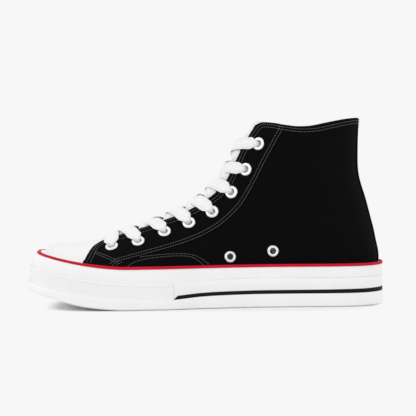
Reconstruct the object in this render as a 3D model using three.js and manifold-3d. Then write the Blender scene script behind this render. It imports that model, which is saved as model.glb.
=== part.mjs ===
import * as THREE from "three";
import { mergeVertices } from "three/addons/utils/BufferGeometryUtils.js";
import Module from "manifold-3d";

// High top canvas sneaker, right shoe, in millimetres.
// The toe points to -X, the inner side of the foot to -Y, the floor is z = 0.

const wasm = await Module();
wasm.setup();

// Driving sizes
const soleLength = 285;
const ballWidth = 106;
const toeRubber = 13.3;
const heelRubber = 7.5;
const footbedHeight = 14;
const collarHeight = 147.5;
const toeSpring = 13.5;
const springStart = -60;
const springExponent = 1.7;
const lastInset = 7;

// Walls, counted outwards from the inside face of the upper
const plyWall = 0.9;
const quarterWall = 1.9;
const eyestayWall = 2.6;
const capBase = 1.2;
const capTop = 2.3;
const capLowerEdge = 2;
const clearance = 0.3;

// Rubber round the sole
const foxingTopHeight = 33.9;
const foxingToeRise = 10.4;
const foxingRiseEnd = 10;
const foxingRollHeight = 6.5;
const foxingRollMiddle = 2.5;
const redStripeHeight = 2.2;
const redStripeProud = 0.5;
const outsoleEdge = 9.3;
const outsoleEdgeHeel = 10.6;
const outsoleEdgeDip = 2.3;
const outsoleDipLength = 22;
const outsoleDipLead = 7;
const outsoleHeelStart = 40;
const bandThickness = 0.9;
const edgeInset = 0.6;
const toeLip = 2.9;
const toeLean = 6.2;
const bumperHeight = 12.2;
const bumperToeTop = 20.5;
const bumperEnd = -23;
const heelBandStart = -22;
const heelBandTop = 23.2;
const blackStripeHeight = 2.8;
const treadDepth = 1.2;
const treadMargin = 7;
const treadRibPitch = 18;
const treadRibGap = 3;
const footbedFoot = 3;

// Openings and trim
const throatHalfWidth = 12.6;
const throatWidening = 2.2;
const throatReach = 12;
const tongueThickness = 2;
const tongueOverlap = 9;
const tongueDrop = 0.5;
const insoleThickness = 4;
const heelStayHalfWidth = 6.5;
const heelStayThickness = 0.8;
const eyeletRadius = 5.2;
const eyeletBore = 2.5;
const eyeletBarrel = 3.1;
const eyeletThickness = 1.1;
const eyeletBevel = 0.8;
const ventRadius = 4.6;
const ventBore = 2.3;
const ventBarrel = 2.9;
const laceWidth = 8;
const laceThickness = 1.6;
const laceLift = 0.5;
const overcut = 20;

const heelX = soleLength / 2;
const toeX = -soleLength / 2;
const lastToe = toeX + toeRubber;
const lastLength = soleLength - toeRubber - heelRubber;
const ankleHeight = collarHeight - footbedHeight;

// Outline of the sole, a row every 15 degrees of x = -cos(angle) * soleLength / 2.
// Half widths to the inner and outer side are shares of ballWidth.
const outlineRows = [
  { inner: 0.066, outer: -0.066 },
  { inner: 0.292, outer: 0.132 },
  { inner: 0.418, outer: 0.283 },
  { inner: 0.486, outer: 0.396 },
  { inner: 0.5, outer: 0.472 },
  { inner: 0.47, outer: 0.5 },
  { inner: 0.396, outer: 0.484 },
  { inner: 0.337, outer: 0.43 },
  { inner: 0.322, outer: 0.387 },
  { inner: 0.325, outer: 0.361 },
  { inner: 0.287, outer: 0.321 },
  { inner: 0.165, outer: 0.195 },
  { inner: -0.012, outer: 0.012 },
];

// Sections of the last, each in a plane through the ridge and the keel.
// Places along the shoe are shares of lastLength from the toe, heights shares of ankleHeight
// over the footbed, widths shares of ballWidth. widest is the share from ridge to keel,
// crown and base are the exponents of the upper and lower curve.
const lastRows = [
  // ridgeX, ridgeZ, keelX, keelZ, middle, inner, outer, widest, crown, base
  [0, 0.178, 0, -0.06, -0.061, 0.43, 0.43, 0.8, 2.5, 5],
  [0.092, 0.219, 0.092, -0.06, -0.04, 0.43, 0.43, 0.8, 2.3, 5],
  [0.171, 0.263, 0.179, -0.06, -0.024, 0.43, 0.432, 0.84, 1.9, 5],
  [0.242, 0.324, 0.254, -0.06, -0.012, 0.432, 0.435, 0.86, 1.75, 5],
  [0.324, 0.38, 0.36, -0.06, 0, 0.402, 0.433, 0.86, 1.8, 5],
  [0.427, 0.465, 0.519, -0.06, 0.01, 0.328, 0.402, 0.85, 1.95, 5],
  [0.489, 0.551, 0.686, -0.06, 0.014, 0.284, 0.338, 0.84, 2.1, 5],
  [0.533, 0.631, 0.837, -0.06, 0.017, 0.282, 0.298, 0.8, 2.2, 5],
  [0.553, 0.687, 0.943, -0.04, 0.018, 0.288, 0.294, 0.74, 2.3, 4.2],
  [0.566, 0.734, 1, 0.13, 0.018, 0.288, 0.292, 0.64, 2.3, 2.8],
  [0.581, 0.796, 0.992, 0.3, 0.018, 0.286, 0.29, 0.55, 2.15, 2.4],
  [0.597, 0.855, 0.969, 0.49, 0.018, 0.285, 0.289, 0.5, 2.05, 2.2],
  [0.614, 0.906, 0.945, 0.66, 0.018, 0.286, 0.29, 0.47, 1.95, 2.2],
  [0.633, 0.96, 0.942, 0.83, 0.018, 0.292, 0.295, 0.46, 1.9, 2.2],
  [0.665, 1.071, 0.947, 1.06, 0.018, 0.299, 0.301, 0.46, 1.9, 2.2],
].map(([ridgeX, ridgeZ, keelX, keelZ, middle, inner, outer, widest, crown, base]) => (
  { ridgeX, ridgeZ, keelX, keelZ, middle, inner, outer, widest, crown, base }
));
const noseDepth = 0.255;
const noseExponent = 2.25;
const noseHeight = 12;
const noseCentre = 0.045;

// Edges seen from the side: x as a share of lastLength from the toe, z as a share of ankleHeight.
const collarEdge = [
  { x: 0.585, z: 0.880 },
  { x: 0.628, z: 0.930 },
  { x: 0.639, z: 0.952 },
  { x: 0.657, z: 0.973 },
  { x: 0.671, z: 0.978 },
  { x: 0.701, z: 0.972 },
  { x: 0.724, z: 0.963 },
  { x: 0.774, z: 0.950 },
  { x: 0.818, z: 0.952 },
  { x: 0.863, z: 0.969 },
  { x: 0.907, z: 0.986 },
  { x: 0.942, z: 0.996 },
  { x: 1.020, z: 1.010 },
];
const vampEdge = [
  { x: 0.216, z: 0.345 },
  { x: 0.193, z: 0.292 },
  { x: 0.163, z: 0.263 },
  { x: 0.148, z: 0.230 },
  { x: 0.135, z: 0.183 },
  { x: 0.129, z: 0.154 },
  { x: 0.118, z: -0.060 },
];
const eyestaySeam = [
  { x: 0.723, z: 1.100 },
  { x: 0.717, z: 0.952 },
  { x: 0.702, z: 0.884 },
  { x: 0.666, z: 0.747 },
  { x: 0.631, z: 0.604 },
  { x: 0.596, z: 0.487 },
  { x: 0.548, z: 0.391 },
  { x: 0.499, z: 0.336 },
  { x: 0.450, z: 0.297 },
  { x: 0.388, z: 0.263 },
  { x: 0.277, z: 0.212 },
  { x: 0.226, z: 0.180 },
];
const eyeletPlaces = [
  { x: 0.648, z: 0.850 },
  { x: 0.611, z: 0.700 },
  { x: 0.570, z: 0.565 },
  { x: 0.513, z: 0.456 },
  { x: 0.444, z: 0.397 },
  { x: 0.371, z: 0.347 },
  { x: 0.293, z: 0.292 },
  { x: 0.215, z: 0.264 },
];
// Vent eyelets: rise over the foxing's top as a share of ventRadius.
const ventPlaces = [
  { x: 0.564, rise: 1.188 },
  { x: 0.692, rise: 2.1458 },
];

const canvasBlack = new THREE.MeshStandardMaterial({ color: 0x0d0d0e, roughness: 0.9, metalness: 0 });
const canvasWhite = new THREE.MeshStandardMaterial({ color: 0xe9e8e4, roughness: 0.9, metalness: 0 });
const rubberWhite = new THREE.MeshStandardMaterial({ color: 0xeeeeec, roughness: 0.5, metalness: 0 });
const rubberRed = new THREE.MeshStandardMaterial({ color: 0xc8102e, roughness: 0.5, metalness: 0 });
const rubberBlack = new THREE.MeshStandardMaterial({ color: 0x1c1c1e, roughness: 0.55, metalness: 0 });
const eyeletMetal = new THREE.MeshStandardMaterial({ color: 0xe6e6e6, roughness: 0.35, metalness: 0.8 });
const laceCotton = new THREE.MeshStandardMaterial({ color: 0xf2f2f0, roughness: 0.9, metalness: 0 });

const along = (share) => lastToe + share * lastLength;
const toeward = (x, start, end) => Math.max(0, Math.min(1, (start - x) / (start - end)));
const springAt = (x) => toeSpring * Math.max(0, (springStart - x) / (springStart - toeX)) ** springExponent;
const footbedAt = (x) => footbedHeight + springAt(x);
const sidePoint = ({ x, z }) => new THREE.Vector2(along(x), footbedHeight + z * ankleHeight);

// Smooth value of one column of a table at a row number that may lie between two rows.
function column(rows, name, row) {
  const last = rows.length - 1;
  const i = Math.min(last - 1, Math.max(0, Math.floor(row)));
  const t = row - i;
  const a = rows[i][name];
  const b = rows[i + 1][name];
  const slopeA = i > 0 ? (b - rows[i - 1][name]) / 2 : b - a;
  const slopeB = i < last - 1 ? (rows[i + 2][name] - a) / 2 : b - a;
  const t2 = t * t;
  const t3 = t2 * t;
  const toB = 3 * t2 - 2 * t3;
  return a * (1 - toB) + slopeA * (t3 - 2 * t2 + t) + b * toB + slopeB * (t3 - t2);
}

// Roundness of an end: 0 at the tip, 1 from depth onwards.
function roundEnd(distance, depth, exponent) {
  const v = Math.min(1, Math.max(0, distance / depth));
  return (1 - (1 - v) ** exponent) ** (1 / exponent);
}

// Point of the last: row number along the shoe, turn from 0 to 1 round the section,
// from the ridge down the inner side to the keel and up the outer side.
function lastPoint(row, turn) {
  const at = (name) => column(lastRows, name, row);
  const ridgeX = along(at("ridgeX"));
  const keelX = along(at("keelX"));
  const distance = ridgeX - lastToe;
  const wide = roundEnd(distance, noseDepth * lastLength, noseExponent);
  const high = roundEnd(distance, noseHeight, 2);
  const centre = footbedAt(ridgeX) + noseCentre * ankleHeight;
  const ridgeZ = centre + (footbedAt(ridgeX) + at("ridgeZ") * ankleHeight - centre) * high;
  const keelZ = centre + (footbedAt(keelX) + at("keelZ") * ankleHeight - centre) * high;
  const angle = 2 * Math.PI * (turn - Math.floor(turn));
  const side = angle <= Math.PI ? -1 : 1;
  const down = Math.abs(Math.cos(angle));
  const out = Math.abs(Math.sin(angle));
  const widest = at("widest");
  const crowned = Math.cos(angle) >= 0;
  const exponent = crowned ? at("crown") : at("base");
  const fall = down ** (2 / exponent);
  const share = crowned ? widest * (1 - fall) : widest + (1 - widest) * fall;
  const half = at(side < 0 ? "inner" : "outer") * ballWidth * wide;
  return new THREE.Vector3(
    ridgeX + (keelX - ridgeX) * share,
    at("middle") * ballWidth + side * half * out ** (2 / exponent),
    ridgeZ + (keelZ - ridgeZ) * share,
  );
}

const lastEnd = lastRows.length - 1;
const normalStep = 0.004;

function lastNormal(row, turn) {
  const before = Math.max(0.0005, row - normalStep);
  const after = Math.min(lastEnd, row + normalStep);
  const lengthways = lastPoint(after, turn).sub(lastPoint(before, turn));
  const around = lastPoint(row, turn + normalStep).sub(lastPoint(row, turn - normalStep));
  return new THREE.Vector3().crossVectors(around, lengthways).normalize();
}

// Point at a distance outside the last.
function skinPoint(row, turn, distance) {
  return lastPoint(row, turn).addScaledVector(lastNormal(row, turn), distance);
}

function solidFrom(geometry) {
  const bare = geometry.clone();
  bare.deleteAttribute("normal");
  bare.deleteAttribute("uv");
  const merged = mergeVertices(bare, 1e-4);
  const mesh = new wasm.Mesh({
    numProp: 3,
    vertProperties: new Float32Array(merged.attributes.position.array),
    triVerts: new Uint32Array(merged.index.array),
  });
  return new wasm.Manifold(mesh);
}

function meshOf(name, solid, material) {
  const data = solid.getMesh();
  const geometry = new THREE.BufferGeometry();
  geometry.setAttribute("position", new THREE.BufferAttribute(new Float32Array(data.vertProperties), 3));
  geometry.setIndex(new THREE.BufferAttribute(new Uint32Array(data.triVerts), 1));
  geometry.computeVertexNormals();
  const mesh = new THREE.Mesh(geometry, material);
  mesh.name = name;
  return mesh;
}

// Closed solid through rings that have equally many points, counted anticlockwise
// as seen from the last ring. The ends are closed from side to side.
function loft(rings) {
  const count = rings[0].length;
  const positions = [];
  const triangles = [];
  for (const ring of rings) {
    for (const point of ring) positions.push(point.x, point.y, point.z);
  }
  for (let k = 0; k < rings.length - 1; k += 1) {
    for (let i = 0; i < count; i += 1) {
      const a = k * count + i;
      const b = k * count + ((i + 1) % count);
      triangles.push(a, b, b + count, a, b + count, a + count);
    }
  }
  const last = (rings.length - 1) * count;
  const cap = (a, b, c) => {
    triangles.push(a, c, b, last + a, last + b, last + c);
  };
  for (let low = 0, high = count - 1; low < high - 1; low += 1, high -= 1) {
    cap(low, low + 1, high);
    if (low + 1 < high - 1) cap(low + 1, high - 1, high);
  }
  const geometry = new THREE.BufferGeometry();
  geometry.setAttribute("position", new THREE.Float32BufferAttribute(positions, 3));
  geometry.setIndex(triangles);
  return solidFrom(geometry);
}

// Solid of the last grown by a distance, closed at the toe and over the collar.
// noseRings are places behind the tip as shares of noseHeight.
const sectionsPerSide = 8;
const noseRings = [1 / 80, 1 / 10, 17 / 60, 7 / 12, 1, 5 / 3, 8 / 3];
const sectionStep = 0.64;

function grownLast(distance) {
  const rows = noseRings.map((share) => (share * noseHeight) / (lastRows[1].ridgeX * lastLength));
  const bodyStart = rows[rows.length - 1];
  const bodyCount = Math.round((lastEnd - bodyStart) / sectionStep);
  for (let k = 1; k <= bodyCount; k += 1) rows.push(bodyStart + ((lastEnd - bodyStart) * k) / bodyCount);
  const turns = 2 * sectionsPerSide;
  return loft(
    rows.map((row) => Array.from({ length: turns }, (_, i) => skinPoint(row, i / turns, distance))),
  );
}

// Prism across the shoe over a side view outline of Vector2(x, z).
function sidePrism(points, halfWidth = ballWidth) {
  const geometry = new THREE.ExtrudeGeometry(new THREE.Shape(points), {
    depth: 2 * halfWidth,
    bevelEnabled: false,
  });
  geometry.rotateX(Math.PI / 2);
  geometry.translate(0, halfWidth, 0);
  return solidFrom(geometry);
}

const prismStations = 18;

// Everything between two heights that are functions of x.
function layer(bottomAt, topAt) {
  const reach = soleLength / 2 + overcut;
  const step = (2 * reach) / (prismStations - 1);
  const xs = Array.from({ length: prismStations }, (_, i) => -reach + step * i);
  const lower = xs.map((x) => new THREE.Vector2(x, bottomAt(x)));
  const upper = xs.reverse().map((x) => new THREE.Vector2(x, topAt(x)));
  return sidePrism([...lower, ...upper]);
}

// Outline of the sole moved inwards, as points in the floor plane.
const outlineCount = 36;

function outlinePoint(angle) {
  const turned = ((angle % (2 * Math.PI)) + 2 * Math.PI) % (2 * Math.PI);
  const inner = turned <= Math.PI;
  const fold = inner ? turned : 2 * Math.PI - turned;
  const row = (fold / Math.PI) * (outlineRows.length - 1);
  const half = column(outlineRows, inner ? "inner" : "outer", row) * ballWidth;
  return new THREE.Vector2((-soleLength / 2) * Math.cos(fold), inner ? -half : half);
}

function outline(insetAt) {
  return Array.from({ length: outlineCount }, (_, i) => {
    const angle = (2 * Math.PI * (i + 0.5)) / outlineCount;
    const tangent = outlinePoint(angle + 0.01).sub(outlinePoint(angle - 0.01)).normalize();
    const inset = insetAt(Math.max(0, Math.cos(angle)));
    return outlinePoint(angle).add(new THREE.Vector2(-tangent.y, tangent.x).multiplyScalar(inset));
  });
}

// Solid inside outlines that change with height, given as rows of z and inset.
function outlineSolid(levels) {
  return loft(
    levels.map(({ z, inset }) => (
      outline(inset).map(({ x, y }) => new THREE.Vector3(x, y, z(x)))
    )),
  );
}

const foxingTopAt = (x) => (
  foxingTopHeight + foxingToeRise * toeward(x, springStart, toeX + foxingRiseEnd) ** springExponent
);
const edgeTopAt = (x) => {
  const heelwards = 1 - toeward(x, outsoleHeelStart, springStart);
  const dip = outsoleEdgeDip * Math.exp(-(((x - bumperEnd + outsoleDipLead) / outsoleDipLength) ** 2));
  return springAt(x) + outsoleEdge + (outsoleEdgeHeel - outsoleEdge) * heelwards - dip;
};
const bandInset = (front) => edgeInset + toeLip * front ** 3;
const foxingInset = (front) => bandInset(front) + bandThickness + clearance;
const wallInset = (front) => lastInset - eyestayWall - 2 * clearance + (toeRubber - lastInset) * front ** 3;
const leanInset = (share) => (front) => foxingInset(front) + share * toeLean * front ** 2.5;

// Sole: a slab with the tread, and the footbed that carries the upper.
function makeOutsole() {
  const slab = outlineSolid([
    { z: springAt, inset: () => treadDepth },
    { z: (x) => springAt(x) + treadDepth, inset: () => 0 },
    { z: (x) => edgeTopAt(x) - edgeInset, inset: (front) => 0.3 * bandInset(front) },
    { z: edgeTopAt, inset: bandInset },
  ]);
  const bed = outlineSolid([
    { z: (x) => springAt(x) + footbedFoot, inset: (front) => wallInset(front) + clearance },
    { z: footbedAt, inset: (front) => wallInset(front) + clearance },
  ]);
  let sole = slab.add(bed);
  const field = outlineSolid([
    { z: (x) => springAt(x) - treadDepth, inset: () => treadMargin },
    { z: (x) => springAt(x) + treadDepth, inset: () => treadMargin },
  ]);
  for (let x = toeX + 2 * treadRibPitch; x < heelX - treadRibPitch; x += treadRibPitch) {
    const waist = x > 0 && x < soleLength / 5;
    if (waist) continue;
    const groove = new THREE.BoxGeometry(treadRibGap, ballWidth, 4 * treadDepth + 2 * toeSpring);
    groove.translate(x, 0, 0);
    sole = sole.subtract(solidFrom(groove).intersect(field));
  }
  return sole;
}

function makeFoxing() {
  const topAt = (x) => foxingTopAt(x) - redStripeHeight - clearance;
  const outer = outlineSolid([
    { z: (x) => edgeTopAt(x) + clearance, inset: foxingInset },
    { z: (x) => topAt(x) - foxingRollHeight, inset: foxingInset },
    { z: (x) => topAt(x) - foxingRollMiddle, inset: leanInset(0.25) },
    { z: topAt, inset: leanInset(0.7) },
  ]);
  const well = outlineSolid([
    { z: (x) => springAt(x), inset: wallInset },
    { z: (x) => footbedAt(x) + clearance, inset: wallInset },
  ]);
  return outer.subtract(well).subtract(upperRoom);
}

function makeRedStripe() {
  const proud = (share) => (front) => leanInset(share)(front) - redStripeProud;
  const outer = outlineSolid([
    { z: (x) => foxingTopAt(x) - redStripeHeight, inset: proud(0.75) },
    { z: (x) => foxingTopAt(x) - redStripeProud, inset: proud(1) },
    { z: foxingTopAt, inset: leanInset(1) },
  ]);
  return outer.subtract(upperRoom);
}

// Thin band outside the foxing between two heights.
function makeBand(bottomAt, topAt, outerInset, innerInset) {
  const ring = outlineSolid([
    { z: bottomAt, inset: outerInset },
    { z: topAt, inset: outerInset },
  ]);
  const room = outlineSolid([
    { z: (x) => bottomAt(x) - bandThickness, inset: innerInset },
    { z: (x) => topAt(x) + bandThickness, inset: innerInset },
  ]);
  return ring.subtract(room);
}

const foreBlock = (endX) => sidePrism([
  new THREE.Vector2(toeX - overcut, -overcut),
  new THREE.Vector2(endX, -overcut),
  new THREE.Vector2(endX, collarHeight),
  new THREE.Vector2(toeX - overcut, collarHeight),
]);

const bandBottomAt = (x) => edgeTopAt(x) + clearance;
const bumperTopAt = (x) => Math.max(bandBottomAt(x) + bumperHeight, bumperToeTop + springAt(x));
const stripeTopAt = (x) => bandBottomAt(x) + blackStripeHeight;

function makeToeBumper() {
  return makeBand(bandBottomAt, bumperTopAt, bandInset, (front) => bandInset(front) + bandThickness)
    .intersect(foreBlock(bumperEnd));
}

function makeBlackStripe() {
  return makeBand(bandBottomAt, stripeTopAt, bandInset, (front) => bandInset(front) + bandThickness)
    .subtract(foreBlock(heelBandStart));
}

function makeHeelBand() {
  const bottomAt = (x) => stripeTopAt(x) + clearance;
  return makeBand(bottomAt, () => heelBandTop, bandInset, (front) => bandInset(front) + bandThickness)
    .subtract(foreBlock(heelBandStart));
}

// Strip of space that follows the ridge, for the throat and the tongue.
function ridgeStrip(fromRow, toRow, halfAt, inside, outside) {
  const steps = 16;
  return loft(
    Array.from({ length: steps + 1 }, (_, k) => {
      const share = k / steps;
      const row = fromRow + (toRow - fromRow) * share;
      const ridge = lastPoint(row, 0);
      const normal = lastNormal(row, 0);
      const low = ridge.clone().addScaledVector(normal, -inside);
      const top = ridge.clone().addScaledVector(normal, outside);
      const half = halfAt(share);
      return [
        new THREE.Vector3(low.x, low.y + half, low.z),
        new THREE.Vector3(top.x, top.y + half, top.z),
        new THREE.Vector3(top.x, top.y - half, top.z),
        new THREE.Vector3(low.x, low.y - half, low.z),
      ];
    }),
  );
}

const throatStart = 2.3;
const throatHalfAt = (share) => throatHalfWidth + throatWidening * share;

const upperRoom = grownLast(eyestayWall + clearance);
const lastInside = grownLast(0);
const belowUpper = layer(() => -overcut, (x) => footbedAt(x) + clearance);
const aboveCollar = sidePrism([
  ...collarEdge.map(sidePoint),
  new THREE.Vector2(heelX + overcut, 2 * collarHeight),
  new THREE.Vector2(along(0.5), 2 * collarHeight),
]);
const aheadOfVamp = sidePrism([
  ...vampEdge.map(sidePoint),
  new THREE.Vector2(toeX - overcut, 0),
  new THREE.Vector2(toeX - overcut, sidePoint(vampEdge[0]).y),
]);
const behindEyestay = sidePrism([
  ...eyestaySeam.map(sidePoint),
  new THREE.Vector2(along(eyestaySeam[eyestaySeam.length - 1].x), -overcut),
  new THREE.Vector2(heelX + overcut, -overcut),
  new THREE.Vector2(heelX + overcut, 2 * collarHeight),
]);

// Row and turn where a side view point lies on one side of the last.
function placeOnSide(target, side) {
  let best = { miss: Infinity };
  const refine = (rowFrom, rowTo, turnFrom, turnTo, count) => {
    for (let i = 0; i <= count; i += 1) {
      for (let j = 0; j <= count; j += 1) {
        const row = rowFrom + ((rowTo - rowFrom) * i) / count;
        const turn = turnFrom + ((turnTo - turnFrom) * j) / count;
        const point = lastPoint(row, side < 0 ? turn : 1 - turn);
        const miss = Math.hypot(point.x - target.x, point.z - target.y);
        if (miss < best.miss) best = { miss, row, turn };
      }
    }
  };
  refine(1, lastEnd, 0.02, 0.3, 40);
  for (let span = 0.4; span > 0.001; span /= 3) {
    const { row, turn } = best;
    refine(row - span, Math.min(lastEnd, row + span), Math.max(0.001, turn - span / 20), turn + span / 20, 8);
  }
  const turn = side < 0 ? best.turn : 1 - best.turn;
  return { row: best.row, turn, normal: lastNormal(best.row, turn) };
}

function eyeletFrame(place, wall) {
  const centre = skinPoint(place.row, place.turn, wall);
  const turned = new THREE.Quaternion().setFromUnitVectors(new THREE.Vector3(0, 1, 0), place.normal);
  return new THREE.Matrix4().compose(centre, turned, new THREE.Vector3(1, 1, 1));
}

const eyeletSides = 8;

// Flanged ring with its barrel in the hole of the wall.
function makeEyelet(place, wall, radius, bore, barrel) {
  const barrelOuter = barrel - clearance;
  const profile = [
    [bore, -wall],
    [barrelOuter, -wall],
    [barrelOuter, clearance],
    [radius, clearance],
    [radius - eyeletBevel, eyeletThickness + clearance],
    [bore, eyeletThickness + clearance],
    [bore, -wall],
  ];
  const geometry = new THREE.LatheGeometry(profile.map(([r, y]) => new THREE.Vector2(r, y)), eyeletSides);
  geometry.applyMatrix4(eyeletFrame(place, wall));
  return solidFrom(geometry);
}

function makeHole(place, wall, radius) {
  const geometry = new THREE.CylinderGeometry(radius, radius, 5 * wall, eyeletSides);
  geometry.applyMatrix4(eyeletFrame(place, wall));
  return solidFrom(geometry);
}

const eyelets = [];
for (const [sideName, side] of [["medial", -1], ["lateral", 1]]) {
  eyeletPlaces.forEach((target, index) => {
    const place = placeOnSide(sidePoint(target), side);
    eyelets.push({ name: `eyelet_${sideName}_${index + 1}`, place, side, index });
  });
}
const vents = ventPlaces.map(({ x, rise }, index) => ({
  name: `vent_eyelet_${index + 1}`,
  place: placeOnSide(new THREE.Vector2(along(x), foxingTopHeight + rise * ventRadius), -1),
}));

function makeUpper() {
  const quarter = grownLast(quarterWall).subtract(aheadOfVamp);
  const eyestay = grownLast(eyestayWall).subtract(aheadOfVamp).subtract(behindEyestay);
  const throat = ridgeStrip(throatStart, lastEnd, throatHalfAt, throatReach, throatReach);
  let upper = grownLast(plyWall).add(quarter).add(eyestay).subtract(lastInside);
  upper = upper.subtract(belowUpper).subtract(aboveCollar).subtract(throat);
  for (const { place } of eyelets) upper = upper.subtract(makeHole(place, eyestayWall, eyeletBarrel));
  for (const { place } of vents) upper = upper.subtract(makeHole(place, quarterWall, ventBarrel));
  return upper;
}

function makeToeCap() {
  const shell = grownLast(capTop).subtract(grownLast(capBase));
  const room = aheadOfVamp.translate([-clearance, 0, 0]);
  const hidden = layer(() => -overcut, (x) => footbedAt(x) + capLowerEdge);
  return shell.intersect(room).subtract(hidden);
}

function makeTongue() {
  const shell = grownLast(-clearance).subtract(grownLast(-clearance - tongueThickness));
  const halfAt = (share) => throatHalfAt(share) + tongueOverlap;
  const strip = ridgeStrip(throatStart + 0.15, lastEnd, halfAt, overcut, overcut);
  const topZ = collarHeight - tongueDrop;
  const above = sidePrism([
    new THREE.Vector2(toeX, topZ),
    new THREE.Vector2(heelX, topZ),
    new THREE.Vector2(heelX, 2 * topZ),
    new THREE.Vector2(toeX, 2 * topZ),
  ]);
  return shell.intersect(strip).subtract(above);
}

function makeInsole() {
  const bed = layer((x) => footbedAt(x) + clearance, (x) => footbedAt(x) + clearance + insoleThickness);
  return bed.intersect(grownLast(-clearance));
}

// Narrow strip that covers the back seam.
function makeHeelStay() {
  const inside = grownLast(quarterWall + clearance);
  const shell = grownLast(quarterWall + clearance + heelStayThickness).subtract(inside);
  const box = new THREE.BoxGeometry(ballWidth / 2, 2 * heelStayHalfWidth, 2 * collarHeight);
  box.translate(lastToe + lastLength, column(lastRows, "middle", lastEnd) * ballWidth, collarHeight);
  const low = layer(() => -overcut, (x) => foxingTopAt(x) + clearance);
  return shell.intersect(solidFrom(box)).subtract(low).subtract(aboveCollar);
}

const laceBase = eyestayWall + laceLift;

// Place over the crown at a share of the way from one eyelet to another.
function overCrown(from, to, share, lift) {
  const end = to.turn > 0.5 ? to.turn - 1 : to.turn;
  const start = from.turn > 0.5 ? from.turn - 1 : from.turn;
  const row = from.row + (to.row - from.row) * share;
  const turn = start + (end - start) * share;
  return { point: skinPoint(row, turn, laceBase + lift), normal: lastNormal(row, turn) };
}

// Flat strap through places on the crown, lying along their normals.
function strap(places) {
  const rings = places.map(({ point, normal }, k) => {
    const before = places[Math.max(0, k - 1)].point;
    const after = places[Math.min(places.length - 1, k + 1)].point;
    const forward = after.clone().sub(before).normalize();
    const across = new THREE.Vector3().crossVectors(forward, normal).normalize();
    const corner = (a, b) => point.clone()
      .addScaledVector(across, (a * laceWidth) / 2)
      .addScaledVector(normal, b * laceThickness);
    return [corner(-1, 0), corner(-0.8, 1), corner(0.8, 1), corner(1, 0)];
  });
  return loft(rings);
}

function eyeletAt(side, index) {
  return eyelets.find((item) => item.side === side && item.index === index).place;
}

function makeLaceBar() {
  const lowest = eyeletPlaces.length - 1;
  const shares = [0.2, 0.35, 0.5, 0.65, 0.8];
  return strap(shares.map((share) => overCrown(eyeletAt(-1, lowest), eyeletAt(1, lowest), share, 0)));
}

// Two straps that come up from inside the throat, cross and end beside the next pair of eyelets.
// Lifts are counted from the plain height of a strap.
const crossingSteps = [
  { share: 0.37, lift: -3 },
  { share: 0.44, lift: -2 },
  { share: 0.53, lift: 0 },
  { share: 0.68, lift: 0 },
  { share: 0.83, lift: 0 },
];

function makeLaceCrossing(index) {
  const arm = (side) => strap(
    crossingSteps.map(({ share, lift }) =>
      overCrown(eyeletAt(side, index + 1), eyeletAt(-side, index), share, lift)),
  );
  return arm(-1).add(arm(1));
}

const group = new THREE.Group();
group.add(meshOf("outsole", makeOutsole(), rubberWhite));
group.add(meshOf("foxing", makeFoxing(), rubberWhite));
group.add(meshOf("red_stripe", makeRedStripe(), rubberRed));
group.add(meshOf("toe_bumper", makeToeBumper(), rubberWhite));
group.add(meshOf("heel_band", makeHeelBand(), rubberWhite));
group.add(meshOf("black_stripe", makeBlackStripe(), rubberBlack));
group.add(meshOf("insole", makeInsole(), canvasWhite));
group.add(meshOf("upper", makeUpper(), canvasBlack));
group.add(meshOf("toe_cap", makeToeCap(), rubberWhite));
group.add(meshOf("tongue", makeTongue(), canvasWhite));
group.add(meshOf("heel_stay", makeHeelStay(), canvasBlack));
for (const { name, place } of eyelets) {
  const eyelet = makeEyelet(place, eyestayWall, eyeletRadius, eyeletBore, eyeletBarrel);
  group.add(meshOf(name, eyelet, eyeletMetal));
}
for (const { name, place } of vents) {
  const eyelet = makeEyelet(place, quarterWall, ventRadius, ventBore, ventBarrel);
  group.add(meshOf(name, eyelet, eyeletMetal));
}
group.add(meshOf("lace_bar", makeLaceBar(), laceCotton));
for (let index = 0; index < eyeletPlaces.length - 1; index += 1) {
  group.add(meshOf(`lace_crossing_${index + 1}`, makeLaceCrossing(index), laceCotton));
}

export default group;
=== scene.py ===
import math

import bmesh
import bpy
import numpy as np
from mathutils import Matrix, Vector


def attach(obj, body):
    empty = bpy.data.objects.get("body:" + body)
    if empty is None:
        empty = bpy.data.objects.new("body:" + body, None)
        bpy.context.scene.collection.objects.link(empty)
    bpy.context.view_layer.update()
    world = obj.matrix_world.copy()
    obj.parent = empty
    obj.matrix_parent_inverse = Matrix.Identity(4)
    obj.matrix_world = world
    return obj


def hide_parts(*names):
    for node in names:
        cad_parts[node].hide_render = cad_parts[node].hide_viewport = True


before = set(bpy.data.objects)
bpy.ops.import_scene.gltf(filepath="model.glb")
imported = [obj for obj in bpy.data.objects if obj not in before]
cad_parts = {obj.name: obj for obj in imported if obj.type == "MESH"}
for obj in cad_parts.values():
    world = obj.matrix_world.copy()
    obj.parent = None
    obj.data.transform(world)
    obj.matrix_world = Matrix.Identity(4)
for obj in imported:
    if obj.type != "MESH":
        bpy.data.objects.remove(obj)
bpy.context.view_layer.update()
print("frame loaded:", len(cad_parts), "nodes")

mm = 0.001  # all tables and sizes below are in millimetres

# the shoe's own sizes, toe to -X, inner side to -Y
shoe = {
    "soleLength": 285.0, "ballWidth": 106.0, "toeRubber": 13.3, "heelRubber": 7.5, "footbed": 14.0,
    "collarHeight": 147.5, "toeSpring": 13.5, "springStart": -60.0, "springExponent": 1.7, "lastInset": 7.0,
    "noseDepth": 0.255, "noseExponent": 2.25, "noseHeight": 12.0, "noseCentre": 0.045,
}
heelX = shoe["soleLength"] / 2
toeX = -heelX
lastToe = toeX + shoe["toeRubber"]
lastLength = shoe["soleLength"] - shoe["toeRubber"] - shoe["heelRubber"]
ankleHeight = shoe["collarHeight"] - shoe["footbed"]

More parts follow.
